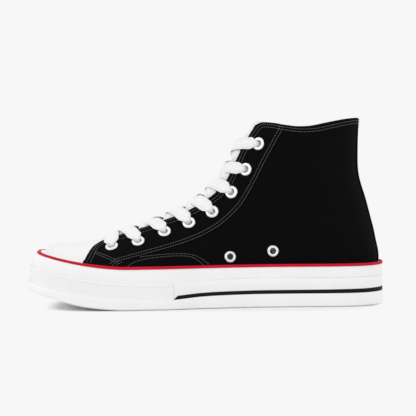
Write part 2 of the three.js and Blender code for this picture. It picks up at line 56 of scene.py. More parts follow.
# half widths of the sole every 15 degrees from toe to heel, as shares of the ball width
outlineRows = {
    "inner": np.array([0.066, 0.292, 0.418, 0.486, 0.5, 0.47, 0.396, 0.337, 0.322, 0.325, 0.287, 0.165, -0.012]),
    "outer": np.array([-0.066, 0.132, 0.283, 0.396, 0.472, 0.5, 0.484, 0.43, 0.387, 0.361, 0.321, 0.195, 0.012]),
}

# sections of the last, each in a plane through the ridge and the keel
lastNames = ["ridgeX", "ridgeZ", "keelX", "keelZ", "middle", "inner", "outer", "widest", "crown", "base"]
lastTable = np.array([
    [0, 0.178, 0, -0.06, -0.061, 0.43, 0.43, 0.8, 2.5, 5],
    [0.092, 0.219, 0.092, -0.06, -0.04, 0.43, 0.43, 0.8, 2.3, 5],
    [0.171, 0.263, 0.179, -0.06, -0.024, 0.43, 0.432, 0.84, 1.9, 5],
    [0.242, 0.324, 0.254, -0.06, -0.012, 0.432, 0.435, 0.86, 1.75, 5],
    [0.324, 0.38, 0.36, -0.06, 0, 0.402, 0.433, 0.86, 1.8, 5],
    [0.427, 0.465, 0.519, -0.06, 0.01, 0.328, 0.402, 0.85, 1.95, 5],
    [0.489, 0.551, 0.686, -0.06, 0.014, 0.284, 0.338, 0.84, 2.1, 5],
    [0.533, 0.631, 0.837, -0.06, 0.017, 0.282, 0.298, 0.8, 2.2, 5],
    [0.553, 0.687, 0.943, -0.04, 0.018, 0.288, 0.294, 0.74, 2.3, 4.2],
    [0.566, 0.734, 1, 0.13, 0.018, 0.288, 0.292, 0.64, 2.3, 2.8],
    [0.581, 0.796, 0.992, 0.3, 0.018, 0.286, 0.29, 0.55, 2.15, 2.4],
    [0.597, 0.855, 0.969, 0.49, 0.018, 0.285, 0.289, 0.5, 2.05, 2.2],
    [0.614, 0.906, 0.945, 0.66, 0.018, 0.286, 0.29, 0.47, 1.95, 2.2],
    [0.633, 0.96, 0.942, 0.83, 0.018, 0.292, 0.295, 0.46, 1.9, 2.2],
    [0.665, 1.071, 0.947, 1.06, 0.018, 0.299, 0.301, 0.46, 1.9, 2.2],
])
lastRows = {name: lastTable[:, i] for i, name in enumerate(lastNames)}
lastEnd = len(lastTable) - 1.0

# edges and seams as seen from the side: x from the toe, z over the footbed, as shares
edges = {
    "collar": [(0.585, 0.88), (0.628, 0.93), (0.639, 0.952), (0.657, 0.973), (0.671, 0.978), (0.701, 0.972),
               (0.724, 0.963), (0.774, 0.95), (0.818, 0.952), (0.863, 0.969), (0.907, 0.986), (0.942, 0.996),
               (1.02, 1.01)],
    "vamp": [(0.216, 0.345), (0.193, 0.292), (0.163, 0.263), (0.148, 0.23), (0.135, 0.183), (0.129, 0.154),
             (0.118, -0.06)],
    "eyestay": [(0.735, 1.1), (0.727, 0.952), (0.71, 0.884), (0.672, 0.747), (0.635, 0.604), (0.598, 0.487),
                (0.548, 0.391), (0.499, 0.33), (0.45, 0.288), (0.388, 0.25), (0.29, 0.2), (0.236, 0.172),
                (0.216, 0.14), (0.208, 0.1), (0.205, -0.06)],
    "vampOuter": [(0.206, 0.04), (0.212, 0.1), (0.226, 0.15), (0.262, 0.187), (0.323, 0.206), (0.389, 0.216),
                  (0.433, 0.214), (0.468, 0.197), (0.503, 0.148), (0.53, 0.08)],
    "vampInner": [(0.252, 0.05), (0.256, 0.115), (0.272, 0.163), (0.323, 0.191), (0.389, 0.203), (0.43, 0.202),
                  (0.46, 0.187), (0.49, 0.138), (0.512, 0.07)],
    "diagonal": [(0.145, 0.235), (0.160, 0.229), (0.195, 0.208), (0.228, 0.182), (0.25, 0.165)],
}
# the side of each line that its field counts as positive, 1 to the left of its direction
sideSigns = {"collar": -1, "vamp": 1, "eyestay": -1, "vampOuter": 1, "vampInner": 1, "diagonal": 1}
eyeletPlaces = [(0.657, 0.85), (0.618, 0.7), (0.574, 0.563), (0.514, 0.446), (0.444, 0.38), (0.371, 0.328),
                (0.293, 0.273), (0.215, 0.243)]
ventPlaces = [(0.564, 0.19), (0.692, 0.223)]
# distances from the last; the lining's inner side lies on it
walls = {"lining": 0.6, "quarter": 1.9, "eyestay": 2.6, "capBase": 1.2, "capTop": 2.3}


def springAt(x):
    reach = np.maximum(0, (shoe["springStart"] - x) / (shoe["springStart"] - toeX))
    return shoe["toeSpring"] * reach ** shoe["springExponent"]


def footbedAt(x):
    return shoe["footbed"] + springAt(x)


def sidePoint(place):
    return np.array([lastToe + place[0] * lastLength, shoe["footbed"] + place[1] * ankleHeight])


# smooth value of one column of a table between its rows
def column(rows, name, row):
    data = rows[name]
    last = len(data) - 1
    i = np.clip(np.floor(row), 0, last - 1).astype(int)
    t = row - i
    a, b = data[i], data[i + 1]
    slopeA = np.where(i > 0, (b - data[np.maximum(i - 1, 0)]) / 2, b - a)
    slopeB = np.where(i < last - 1, (data[np.minimum(i + 2, last)] - a) / 2, b - a)
    toB = 3 * t**2 - 2 * t**3
    return a * (1 - toB) + slopeA * (t**3 - 2 * t**2 + t) + b * toB + slopeB * (t**3 - t**2)


def roundEnd(distance, depth, exponent):
    v = np.clip(distance / depth, 0, 1)
    return (1 - (1 - v) ** exponent) ** (1 / exponent)


# point of the last: row along the shoe, turn 0 at the ridge, negative turns on the outer side
def lastPoint(row, turn):
    row, turn = np.broadcast_arrays(np.asarray(row, float), np.asarray(turn, float))
    at = {name: column(lastRows, name, row) for name in lastNames}
    ridgeX = lastToe + at["ridgeX"] * lastLength
    keelX = lastToe + at["keelX"] * lastLength
    wide = roundEnd(ridgeX - lastToe, shoe["noseDepth"] * lastLength, shoe["noseExponent"])
    high = roundEnd(ridgeX - lastToe, shoe["noseHeight"], 2)
    centre = footbedAt(ridgeX) + shoe["noseCentre"] * ankleHeight
    ridgeZ = centre + (footbedAt(ridgeX) + at["ridgeZ"] * ankleHeight - centre) * high
    keelZ = centre + (footbedAt(keelX) + at["keelZ"] * ankleHeight - centre) * high
    angle = 2 * np.pi * (turn - np.floor(turn))
    side = np.where(angle <= np.pi, -1.0, 1.0)
    crowned = np.cos(angle) >= 0
    exponent = np.where(crowned, at["crown"], at["base"])
    fall = np.abs(np.cos(angle)) ** (2 / exponent)
    share = np.where(crowned, at["widest"] * (1 - fall), at["widest"] + (1 - at["widest"]) * fall)
    half = np.where(side < 0, at["inner"], at["outer"]) * shoe["ballWidth"] * wide
    x = ridgeX + (keelX - ridgeX) * share
    y = at["middle"] * shoe["ballWidth"] + side * half * np.abs(np.sin(angle)) ** (2 / exponent)
    z = ridgeZ + (keelZ - ridgeZ) * share
    return np.stack([x, y, z], -1)


def unit(vectors):
    return vectors / np.maximum(1e-9, np.linalg.norm(vectors, axis=-1, keepdims=True))


def lastNormal(row, turn):
    step = 0.004
    row = np.asarray(row, float)
    lengthways = lastPoint(np.minimum(lastEnd, row + step), turn) - lastPoint(np.maximum(0.0005, row - step), turn)
    around = lastPoint(row, np.asarray(turn) + step) - lastPoint(row, np.asarray(turn) - step)
    return unit(np.cross(around, lengthways))


def skin(row, turn, distance):
    return lastPoint(row, turn) + lastNormal(row, turn) * np.asarray(distance)[..., None]


# length run along a line of points up to each of them
def runOf(points):
    return np.concatenate([[0], np.cumsum(np.linalg.norm(np.diff(points, axis=0), axis=1))])


# a curve through given points, close enough together to read as smooth
def smoothLine(points, perSpan=8):
    points = np.array(points, float)
    rows = {k: points[:, k] for k in range(points.shape[1])}
    t = np.linspace(0, len(points) - 1, (len(points) - 1) * perSpan + 1)
    return np.stack([column(rows, k, t) for k in range(points.shape[1])], -1)


# signed distance to a line in the side view, positive to the left of its direction
def sideDistance(line, x, z):
    best = np.full(x.shape, 1e9)
    signed = np.zeros(x.shape)
    for (ax, az), (bx, bz) in zip(line[:-1], line[1:]):
        dx, dz = bx - ax, bz - az
        t = np.clip(((x - ax) * dx + (z - az) * dz) / max(1e-9, dx * dx + dz * dz), 0, 1)
        gap = np.hypot(x - ax - t * dx, z - az - t * dz)
        left = dx * (z - az) - dz * (x - ax)
        nearer = gap < best
        best = np.where(nearer, gap, best)
        signed = np.where(nearer, np.where(left >= 0, gap, -gap), signed)
    return signed


# a fine net over the last, finer at the ridge and at the keel
net = {"firstRows": [0.02, 0.06, 0.12], "rowStart": 0.2, "rowStep": 0.06, "turns": 220, "gather": 0.55}
rowLine = np.concatenate([net["firstRows"], np.arange(net["rowStart"], lastEnd + 0.001, net["rowStep"])])
turnShare = np.linspace(-0.5, 0.5, net["turns"] + 1)
turnLine = turnShare - net["gather"] * np.sin(4 * np.pi * turnShare) / (4 * np.pi)
netRow, netTurn = np.meshgrid(rowLine, turnLine, indexing="ij")
netPoints = skin(netRow, netTurn, np.full(netRow.shape, walls["quarter"]))
netX, netY, netZ = netPoints[..., 0], netPoints[..., 1], netPoints[..., 2]
netMiddle = column(lastRows, "middle", netRow) * shoe["ballWidth"]


# turns any value over the net into millimetres along the surface
def overSurface(value):
    alongI = np.gradient(netPoints, axis=0)
    alongJ = np.gradient(netPoints, axis=1)
    vi, vj = np.gradient(value)
    ii = (alongI**2).sum(-1)
    jj = (alongJ**2).sum(-1)
    ij = (alongI * alongJ).sum(-1)
    area = np.maximum(1e-6, ii * jj - ij**2)
    slope = np.sqrt(np.maximum(1e-6, (jj * vi**2 - 2 * ij * vi * vj + ii * vj**2) / area))
    return value / np.clip(slope, 0.15, 2)


def smoothMin(a, b, reach):
    h = np.clip(0.5 + 0.5 * (b - a) / reach, 0, 1)
    return b * (1 - h) + a * h - reach * h * (1 - h)


throat = {"start": 2.3, "half": 12.6, "widening": 2.2, "corner": 6.0}
crownTurn = 0.3  # turns up to this one face upwards
outside = 50.0  # what a field says far from its line
elsewhere = -5.0  # and what it says where its piece has no part
sideLines = {name: smoothLine([sidePoint(p) for p in points]) for name, points in edges.items()}
throatShare = np.clip((netRow - throat["start"]) / (lastEnd - throat["start"]), 0, 1)
throatHalf = throat["half"] + throat["widening"] * throatShare
ridgeRun = runOf(lastPoint(rowLine, np.zeros(rowLine.shape)))
intoThroat = np.interp(netRow, rowLine, ridgeRun) - np.interp(throat["start"], rowLine, ridgeRun)
throatSlot = smoothMin(intoThroat, throatHalf - np.abs(netY - netMiddle), throat["corner"])
fields = {name: overSurface(sign * sideDistance(sideLines[name], netX, netZ)) for name, sign in sideSigns.items()}
fields["throat"] = np.where(np.abs(netTurn) < crownTurn, overSurface(-throatSlot), outside)
fields["bottom"] = netZ - footbedAt(netX) - 0.3
print("net over the last:", netRow.shape)


# value of an array over the net at fractional places
def sample(array, places):
    i = np.clip(places[:, 0], 0, array.shape[0] - 1)
    j = np.clip(places[:, 1], 0, array.shape[1] - 1)
    i0 = np.minimum(i.astype(int), array.shape[0] - 2)
    j0 = np.minimum(j.astype(int), array.shape[1] - 2)
    a, b = i - i0, j - j0
    return (array[i0, j0] * (1 - a) * (1 - b) + array[i0 + 1, j0] * a * (1 - b)
            + array[i0, j0 + 1] * (1 - a) * b + array[i0 + 1, j0 + 1] * a * b)


def netFaces():
    n, m = netRow.shape
    i, j = np.meshgrid(np.arange(n), np.arange(m), indexing="ij")
    places = np.stack([i.ravel(), j.ravel()], -1).astype(float)
    a = (i[:-1, :-1] * m + j[:-1, :-1]).ravel()
    return places, np.stack([a, a + 1, a + m + 1, a + m], -1).tolist()


# corners round a face, each with the next one
def withNext(face):
    return zip(face, face[1:] + face[:1])


# keeps what lies on the positive side of a field, cut exactly along its zero line
def trim(places, faces, field):
    value = sample(field, places)
    inside = value >= 0
    added, cache, kept = [], {}, []

    def crossing(a, b):
        low, high = min(a, b), max(a, b)
        if (low, high) not in cache:
            cache[low, high] = len(places) + len(added)
            added.append(places[low] + (places[high] - places[low]) * (value[low] / (value[low] - value[high])))
        return cache[low, high]

    for face in faces:
        flags = [inside[v] for v in face]
        if all(flags):
            kept.append(face)
        elif any(flags):
            cut = []
            for v, w in withNext(face):
                if inside[v]:
                    cut.append(v)
                if inside[v] != inside[w]:
                    cut.append(crossing(v, w))
            if len(cut) > 2:
                kept.append(cut)
    if added:
        places = np.vstack([places, np.array(added)])
    used = sorted({v for face in kept for v in face})
    renumber = {v: k for k, v in enumerate(used)}
    return places[used], [[renumber[v] for v in face] for face in kept]


def cutOut(*conditions):
    places, faces = netFaces()
    for field in conditions:
        places, faces = trim(places, faces, field)
    return places, faces


def surfaceAt(places, distance):
    row = np.interp(places[:, 0], np.arange(len(rowLine)), rowLine)
    turn = np.interp(places[:, 1], np.arange(len(turnLine)), turnLine)
    return skin(row, turn, distance)


# lengths along and round the net, for the weave
aroundRun = np.stack([runOf(line) for line in netPoints])
aroundRun -= aroundRun[:, [netRow.shape[1] // 2]]
sideRun = np.linalg.norm(np.diff(netPoints, axis=0), axis=2).mean(1)
alongRun = np.repeat(np.concatenate([[0], np.cumsum(sideRun)])[:, None], netRow.shape[1], axis=1)


def linkObject(name, data):
    obj = bpy.data.objects.new(name, data)
    bpy.context.scene.collection.objects.link(obj)
    return obj


def makeMesh(name, points, faces, weave=None, sharpAngle=40, merge=True):
    mesh = bpy.data.meshes.new(name)
    mesh.from_pydata((np.asarray(points) * mm).tolist(), [], [list(face) for face in faces])
    mesh.update()
    if weave is not None:
        layer = mesh.uv_layers.new(name="weave")
        index = np.empty(len(mesh.loops), int)
        mesh.loops.foreach_get("vertex_index", index)
        layer.data.foreach_set("uv", np.asarray(weave, np.float32)[index].ravel())
    if merge:
        shape = bmesh.new()
        shape.from_mesh(mesh)
        bmesh.ops.remove_doubles(shape, verts=shape.verts, dist=2e-6)
        bmesh.ops.dissolve_degenerate(shape, edges=shape.edges, dist=1e-7)
        shape.to_mesh(mesh)
        shape.free()
    mesh.shade_smooth()
    mesh.set_sharp_from_angle(angle=math.radians(sharpAngle))
    return linkObject(name, mesh)


def borderEdges(faces):
    seen = {}
    for face in faces:
        for a, b in withNext(face):
            if (b, a) in seen:
                del seen[b, a]
            else:
                seen[a, b] = True
    return list(seen)


rimAngles = [math.pi / 4, math.pi / 2, 3 * math.pi / 4]


# a cut of cloth or rubber with a rounded edge, between two distances from the last
def clothWall(name, cut, outer, inner, roundness=0.6, relief=None):
    places, faces = cut
    raised = sample(relief, places) if relief is not None else np.zeros(len(places))
    top = surfaceAt(places, outer + raised)
    low = surfaceAt(places, np.full(len(places), float(inner)))
    count = len(places)
    # the net's own seam at the keel is closed by merging, so it gets no edge wall
    onSeam = (places[:, 1] < 1e-6) | (places[:, 1] > netRow.shape[1] - 1 - 1e-6)
    border = [(a, b) for a, b in borderEdges(faces) if not (onSeam[a] and onSeam[b])]
    up = unit(top - low)
    outward = np.zeros((count, 3))
    for a, b in border:
        away = np.cross(top[b] - top[a], up[a])
        outward[a] += away
        outward[b] += away
    outward = unit(outward)
    rim = sorted({v for edge in border for v in edge})
    rimIndex = {v: k for k, v in enumerate(rim)}
    middle = (top + low) / 2
    half = np.linalg.norm(top - low, axis=1)[rim, None] / 2
    rings = [middle[rim] + half * (math.cos(a) * up[rim] + roundness * math.sin(a) * outward[rim]) for a in rimAngles]
    solid = [list(face) for face in faces] + [[v + count for v in reversed(face)] for face in faces]
    for edge in border:
        a, b = [[v] + [2 * count + r * len(rim) + rimIndex[v] for r in range(len(rings))] + [v + count] for v in edge]
        solid += [[b[k], a[k], a[k + 1], b[k + 1]] for k in range(len(rings) + 1)]
    flat = np.stack([sample(aroundRun, places), sample(alongRun, places)], -1)
    weave = np.vstack([flat, flat] + [flat[rim]] * len(rings))
    return makeMesh(name, np.vstack([top, low, *rings]), solid, weave=weave, sharpAngle=45)


# each round of the search for a place looks three times closer round the best one so far
searching = {"rounds": 9, "firstCount": 60, "count": 15, "turns": (0.02, crownTurn), "rowReach": 0.2,
             "turnReach": 0.006}


# place on the last that a side view point covers, on one side
def placeOnSide(place, side):
    target = sidePoint(place)
    count, rowEnds, turnEnds = searching["firstCount"], (1, lastEnd), searching["turns"]
    rowReach, turnReach = searching["rowReach"], searching["turnReach"]
    for _ in range(searching["rounds"]):
        rows, turns = np.meshgrid(np.linspace(*rowEnds, count), np.linspace(*turnEnds, count), indexing="ij")
        points = lastPoint(rows, turns if side < 0 else 1 - turns)
        miss = np.hypot(points[..., 0] - target[0], points[..., 2] - target[1])
        best = np.unravel_index(np.argmin(miss), miss.shape)
        row, turn = rows[best], turns[best]
        count = searching["count"]
        rowEnds = (row - rowReach, min(lastEnd, row + rowReach))
        turnEnds = (turn - turnReach, turn + turnReach)
        rowReach, turnReach = rowReach / 3, turnReach / 3
    return {"row": row, "turn": turn if side < 0 else -turn}


eyelet = {"radius": 5.2, "bore": 2.5, "height": 1.1, "segments": 40, "ventRadius": 4.6, "ventBore": 2.3, "clear": 0.5}
eyeletSpots = {side: [placeOnSide(p, side) for p in eyeletPlaces] for side in (-1, 1)}
ventSpots = [placeOnSide(p, -1) for p in ventPlaces]
fields["holes"] = np.full(netRow.shape, outside)
for bore, spots in ((eyelet["bore"], eyeletSpots[-1] + eyeletSpots[1]), (eyelet["ventBore"], ventSpots)):
    for spot in spots:
        away = np.linalg.norm(netPoints - skin(spot["row"], spot["turn"], walls["quarter"]), axis=-1)
        fields["holes"] = np.minimum(fields["holes"], away - bore - eyelet["clear"])


# plain values and other nodes' outputs go into a node's inputs
def feed(tree, node, inputs):
    for key, value in inputs.items():
        if isinstance(value, bpy.types.NodeSocket):
            tree.links.new(value, node.inputs[key])
        else:
            node.inputs[key].default_value = value


def addNode(tree, kind, inputs=None, **settings):
    node = tree.nodes.new(kind)
    for key, value in settings.items():
        setattr(node, key, value)
    feed(tree, node, inputs or {})
    return node


def newFinish(name, colour, roughness, specular):
    material = bpy.data.materials.new(name)
    material.use_nodes = True
    tree = material.node_tree
    shader = tree.nodes["Principled BSDF"]
    feed(tree, shader, {"Base Color": (*colour, 1), "Roughness": roughness, "Specular IOR Level": specular})
    return material, tree, shader


def objectPlaces(tree):
    return addNode(tree, "ShaderNodeTexCoord").outputs["Object"]


def mathOf(tree, operation, *values):
    return addNode(tree, "ShaderNodeMath", dict(enumerate(values)), operation=operation).outputs[0]


def noiseOf(tree, places, scale, detail):
    inputs = {"Scale": scale, "Detail": detail, "Vector": places}
    return addNode(tree, "ShaderNodeTexNoise", inputs).outputs["Fac"]


def rampOf(tree, source, low, high, ends=(0.35, 0.65)):
    node = addNode(tree, "ShaderNodeValToRGB", {0: source})
    for element, position, colour in zip(node.color_ramp.elements, ends, (low, high)):
        element.position = position
        element.color = (*colour, 1)
    return node.outputs["Color"]


def bumpOf(tree, height, distance):
    inputs = {"Distance": distance, "Strength": 1.0, "Height": height}
    return addNode(tree, "ShaderNodeBump", inputs).outputs["Normal"]


weaving = {"wobbleScale": 0.35, "wobble": 0.5, "over": 0.5, "slubScale": 1.6, "slubHeight": 0.6, "threadShade": 0.35,
           "slubShade": 0.7, "ramp": (0.2, 0.75), "sheenRoughness": 0.6}


# plain weave: threads over and under each other, in millimetres of the piece's own weave map
def clothFinish(name, dark, light, pitch, roughness, specular, bump, sheen=0.0):
    material, tree, shader = newFinish(name, light, roughness, specular)
    places = addNode(tree, "ShaderNodeUVMap", uv_map="weave").outputs["UV"]
    split = addNode(tree, "ShaderNodeSeparateXYZ", {0: places})
    wobble = mathOf(tree, "MULTIPLY", noiseOf(tree, places, weaving["wobbleScale"], 2), weaving["wobble"])
    waves = []
    for axis in "XY":
        place = mathOf(tree, "ADD", split.outputs[axis], wobble)
        waves.append(mathOf(tree, "SINE", mathOf(tree, "MULTIPLY", place, math.pi / pitch)))
    over = mathOf(tree, "MULTIPLY", *waves)
    threads = mathOf(tree, "ADD", mathOf(tree, "MULTIPLY", over, weaving["over"]), mathOf(tree, "ABSOLUTE", over))
    slub = noiseOf(tree, places, weaving["slubScale"], 4)
    height = mathOf(tree, "ADD", threads, mathOf(tree, "MULTIPLY", slub, weaving["slubHeight"]))
    shade = mathOf(tree, "ADD", mathOf(tree, "MULTIPLY", threads, weaving["threadShade"]),
                   mathOf(tree, "MULTIPLY", slub, weaving["slubShade"]))
    feed(tree, shader, {
        "Base Color": rampOf(tree, shade, dark, light, weaving["ramp"]), "Normal": bumpOf(tree, height, bump),
        "Sheen Weight": sheen, "Sheen Roughness": weaving["sheenRoughness"],
    })
    return material


moulding = {"cloudScale": 28, "grainScale": 1500, "grain": 0.00006, "patchScale": 60, "patch": 0.16}


# moulded rubber: fine grain, faint clouding and slightly duller patches
def rubberFinish(name, low, high, roughness, specular=0.4):
    material, tree, shader = newFinish(name, high, roughness, specular)
    places = objectPlaces(tree)
    patch = mathOf(tree, "MULTIPLY", noiseOf(tree, places, moulding["patchScale"], 4), moulding["patch"])
    feed(tree, shader, {
        "Base Color": rampOf(tree, noiseOf(tree, places, moulding["cloudScale"], 3), low, high),
        "Normal": bumpOf(tree, noiseOf(tree, places, moulding["grainScale"], 2), moulding["grain"]),
        "Roughness": mathOf(tree, "ADD", patch, roughness - moulding["patch"] / 2),
    })
    return material


# one even tone with fine speckles, for thread and lacquered metal
def speckledFinish(name, low, high, roughness, specular, scale, detail, bump, coat=None):
    material, tree, shader = newFinish(name, high, roughness, specular)
    speckle = noiseOf(tree, objectPlaces(tree), scale, detail)
    feed(tree, shader, {"Base Color": rampOf(tree, speckle, low, high), "Normal": bumpOf(tree, speckle, bump)})
    feed(tree, shader, coat or {})
    return material


# name, darker and lighter tone, thread pitch, roughness, specular level, bump depth, sheen
cloths = {
    "canvas": ("blackCanvas", (0.0022, 0.0022, 0.0024), (0.0046, 0.0046, 0.005), 0.55, 0.94, 0.02, 0.00012, 0.01),
    "tongue": ("tongueCanvas", (0.82, 0.82, 0.815), (0.92, 0.92, 0.915), 0.5, 0.9, 0.15, 0.0001),
    "lining": ("liningCotton", (0.66, 0.645, 0.6), (0.78, 0.765, 0.72), 0.42, 0.92, 0.15, 0.00007),
    "insole": ("insoleCloth", (0.64, 0.62, 0.575), (0.76, 0.745, 0.7), 0.45, 0.9, 0.15, 0.00008),
    "lace": ("laceCotton", (0.82, 0.82, 0.82), (0.93, 0.93, 0.93), 0.6, 0.85, 0.2, 0.00014),
}
# name, darker and lighter tone, roughness, specular level
rubbers = {
    "foxing": ("foxingRubber", (0.83, 0.83, 0.828), (0.865, 0.865, 0.862), 0.5),
    "bumper": ("bumperRubber", (0.83, 0.83, 0.828), (0.865, 0.865, 0.862), 0.46),
    "outsole": ("outsoleRubber", (0.83, 0.83, 0.825), (0.865, 0.865, 0.86), 0.58),
    # painted shade: the toe cap is the foxing's white rubber in darker tones, to hold down the overhead light on the
    # cap's upward faces
    "cap": ("capRubberPaintedShade", (0.79, 0.79, 0.79), (0.82, 0.82, 0.82), 0.42),
    "red": ("redRubber", (0.5, 0.002, 0.022), (0.57, 0.003, 0.03), 0.55, 0.15),
    "black": ("blackRubber", (0.004, 0.004, 0.0045), (0.007, 0.007, 0.0075), 0.6, 0.12),
}
# name, darker and lighter tone, roughness, specular level, speckle scale and detail, bump depth, coat
speckled = {
    "thread": ("stitchThread", (0.07, 0.07, 0.072), (0.14, 0.14, 0.14), 0.7, 0.2, 2400, 2, 0.00004),
    "lacquer": ("eyeletLacquer", (0.8, 0.8, 0.81), (0.9, 0.9, 0.9), 0.28, 0.5, 700, 3, 0.00003,
                {"Metallic": 0.75, "Coat Weight": 0.3, "Coat Roughness": 0.15}),
}
finishes = {key: clothFinish(*values) for key, values in cloths.items()}
finishes.update({key: rubberFinish(*values) for key, values in rubbers.items()})
finishes.update({key: speckledFinish(*values) for key, values in speckled.items()})
print("finishes made")

pieces = []


def addPiece(obj, finish, slotName, nodes=()):
    if finish:
        obj.data.materials.append(finishes[finish])
    pieces.append((obj, slotName, nodes))


# soft troughs and ridges: side view place, length and width in mm, turn in degrees, depth in mm
creases = [
    {"at": (0.86, 0.44), "long": 26, "wide": 7, "tilt": -12, "depth": -0.7},
    {"at": (0.87, 0.36), "long": 24, "wide": 6, "tilt": -8, "depth": 0.5},
    {"at": (0.66, 0.36), "long": 22, "wide": 6, "tilt": 38, "depth": -0.5},
    {"at": (0.38, 0.13), "long": 20, "wide": 8, "tilt": 60, "depth": -0.4},
]


def creaseRelief():
    total = np.zeros(netRow.shape)
    for crease in creases:
        x, z = sidePoint(crease["at"])
        turn = math.radians(crease["tilt"])
        u = (netX - x) * math.cos(turn) + (netZ - z) * math.sin(turn)
        v = -(netX - x) * math.sin(turn) + (netZ - z) * math.cos(turn)
        total += crease["depth"] * np.exp(-((u / crease["long"]) ** 2) - (v / crease["wide"]) ** 2)
    return total


hem = {"width": 7.5, "step": 1.2, "raise": 0.35}
openEdge = np.minimum(fields["collar"], fields["throat"])
folds = creaseRelief()
relief = folds + hem["raise"] * np.clip((hem["width"] - openEdge) / hem["step"], 0, 1)

quarterCut = cutOut(*(fields[name] for name in ("bottom", "vamp", "collar", "throat", "holes")))
addPiece(clothWall("upperCanvas", quarterCut, walls["quarter"], walls["lining"], relief=relief),
         "canvas", "black_canvas", ("upper",))

eyestay = {"back": 0.3, "sunk": 0.3}
eyestayCut = cutOut(fields["bottom"], fields["vamp"], fields["collar"] - eyestay["back"],
                    fields["throat"] - eyestay["back"], fields["eyestay"], fields["holes"])
addPiece(clothWall("eyestayCanvas", eyestayCut, walls["eyestay"], walls["quarter"] - eyestay["sunk"], relief=relief),
         "canvas", "black_canvas")

lining = {"back": 0.8, "slack": 0.05, "roundness": 0.3}
liningCut = cutOut(fields["bottom"], fields["collar"] - lining["back"], fields["throat"] - lining["back"],
                   fields["holes"])
addPiece(clothWall("liningCloth", liningCut, walls["lining"] - lining["slack"], 0.0, roundness=lining["roundness"]),
         "lining", "insole_fabric")
print("upper cut and folded")

toeCap = {"bottom": 2.0, "tuck": 0.3, "roundness": 0.7}
capCut = cutOut(netZ - footbedAt(netX) - toeCap["bottom"], -(fields["vamp"] + toeCap["tuck"]))
addPiece(clothWall("toeCap", capCut, walls["capTop"], walls["capBase"], roundness=toeCap["roundness"]),
         "cap", "toe_cap_rubber", ("toe_cap",))

heelStay = {"half": 6.5, "thick": 0.8, "bottom": 30, "outer": walls["quarter"] + 0.3, "sunk": 0.2, "back": 0.2}
heelMiddle = lastRows["middle"][-1] * shoe["ballWidth"]
stayField = np.where(np.abs(netTurn) > crownTurn, heelStay["half"] - np.abs(netY - heelMiddle), elsewhere)
stayCut = cutOut(netZ - heelStay["bottom"], fields["collar"] - heelStay["back"], stayField)
addPiece(clothWall("heelStay", stayCut, heelStay["outer"] + heelStay["thick"], walls["quarter"] - heelStay["sunk"],
                   relief=folds), "canvas", "black_canvas", ("heel_stay",))

tongue = {"top": 147.0, "overlap": 9.0, "outer": -1.25, "thick": 1.5, "corner": 12.0, "start": 0.15, "turn": 0.32,
          "bulge": 0.9, "bulgeHalf": 10.0, "bulgeStart": 4}
tongueSide = throatHalf + tongue["overlap"] - np.abs(netY - netMiddle)
tongueTop = smoothMin(tongue["top"] - netZ, tongueSide, tongue["corner"])
tongueCut = cutOut(np.where(np.abs(netTurn) < tongue["turn"], tongueTop, elsewhere),
                   (netRow - throat["start"] - tongue["start"]) * 10)
bulge = tongue["bulge"] * np.exp(-(((netY - netMiddle) / tongue["bulgeHalf"]) ** 2))
bulge *= np.clip((netRow - tongue["bulgeStart"]) / 4, 0, 1)
addPiece(clothWall("tongueCanvas", tongueCut, tongue["outer"], tongue["outer"] - tongue["thick"], relief=bulge),
         "tongue", "tongue_canvas", ("tongue",))
print("cap, heel stay and tongue made")


sole = {
    "edge": 9.3, "edgeHeel": 10.6, "heelStart": 40.0, "edgeDip": 2.3, "dipLength": 22.0, "dipLead": 7.0,
    "toeTuck": 2.3, "tuckStart": -90.0, "tuckEnd": -130.0, "gap": 0.3, "touch": 0.04, "ringPoints": 720,
    "tip": (60, 10),  # mm from the toe's tip where it starts and where it is reached
}
band = {"thick": 0.9, "inset": 0.6, "toeLip": 2.9, "bumperPoints": 420, "heelPoints": 520}
bumper = {"height": 12.2, "toeTop": 20.5, "end": -24.4}
foxing = {
    "top": 33.9, "toeRise": 11.8, "riseEnd": 10.0, "toeLean": 6.2, "heelFlush": 1.05, "ledgeDrop": 1.05,
    "ledgeRise": 0.6, "ledgeWide": 2.2, "lip": 0.25, "lowReach": 9.0, "step": 0.35, "stepOver": 0.1, "stepClear": 0.4,
    "stepSpring": 0.8, "leanPower": 2.5, "flushStart": -0.1, "flushLength": 0.5, "sunk": 0.1, "clear": 0.15,
    "climb": [(6.5, 0), (4.4, 0.09), (2.5, 0.25), (0.6, 0.55)],  # mm below the red edge, share of the lean
}
redEdge = {
    "height": 2.2, "depth": 1.5, "toeDrop": 0.5, "lean": 0.75,
    # edge it is measured from, mm above it, share of the lean, mm inwards
    "outer": [(0, 0, 0.75, -0.05), (0, 0.2, 0.78, -0.35), (1, -0.7, 0.92, -0.35), (1, -0.2, 1, -0.2), (1, 0, 1, 0.25)],
    "inner": [(1, -0.15, 1, -0.3), (1, -0.5, 1, 0), (0, 0, 0.75, 0)],
}


def toeward(x, start, end):
    return np.clip((start - x) / (start - end), 0, 1)


# the sole's underside, tucked up a little under the toe
def undersideAt(x):
    share = toeward(x, sole["tuckStart"], sole["tuckEnd"])
    return springAt(x) + sole["toeTuck"] * share**2 * (3 - 2 * share)


def foxingTopAt(x):
    rise = toeward(x, shoe["springStart"], toeX + foxing["riseEnd"]) ** shoe["springExponent"]
    return foxing["top"] + foxing["toeRise"] * rise


# how much of the toe's tip a place has reached
def tipAt(x):
    return toeward(x, *(toeX + distance for distance in sole["tip"]))


def edgeTopAt(x):
    heelwards = 1 - toeward(x, sole["heelStart"], shoe["springStart"])
    dip = sole["edgeDip"] * np.exp(-(((x - bumper["end"] + sole["dipLead"]) / sole["dipLength"]) ** 2))
    return springAt(x) + sole["edge"] + (sole["edgeHeel"] - sole["edge"]) * heelwards - dip


def bandInset(front):
    return band["inset"] + band["toeLip"] * np.maximum(0, front) ** 3


def foxingInset(front):
    return bandInset(front) + band["thick"] + sole["gap"]


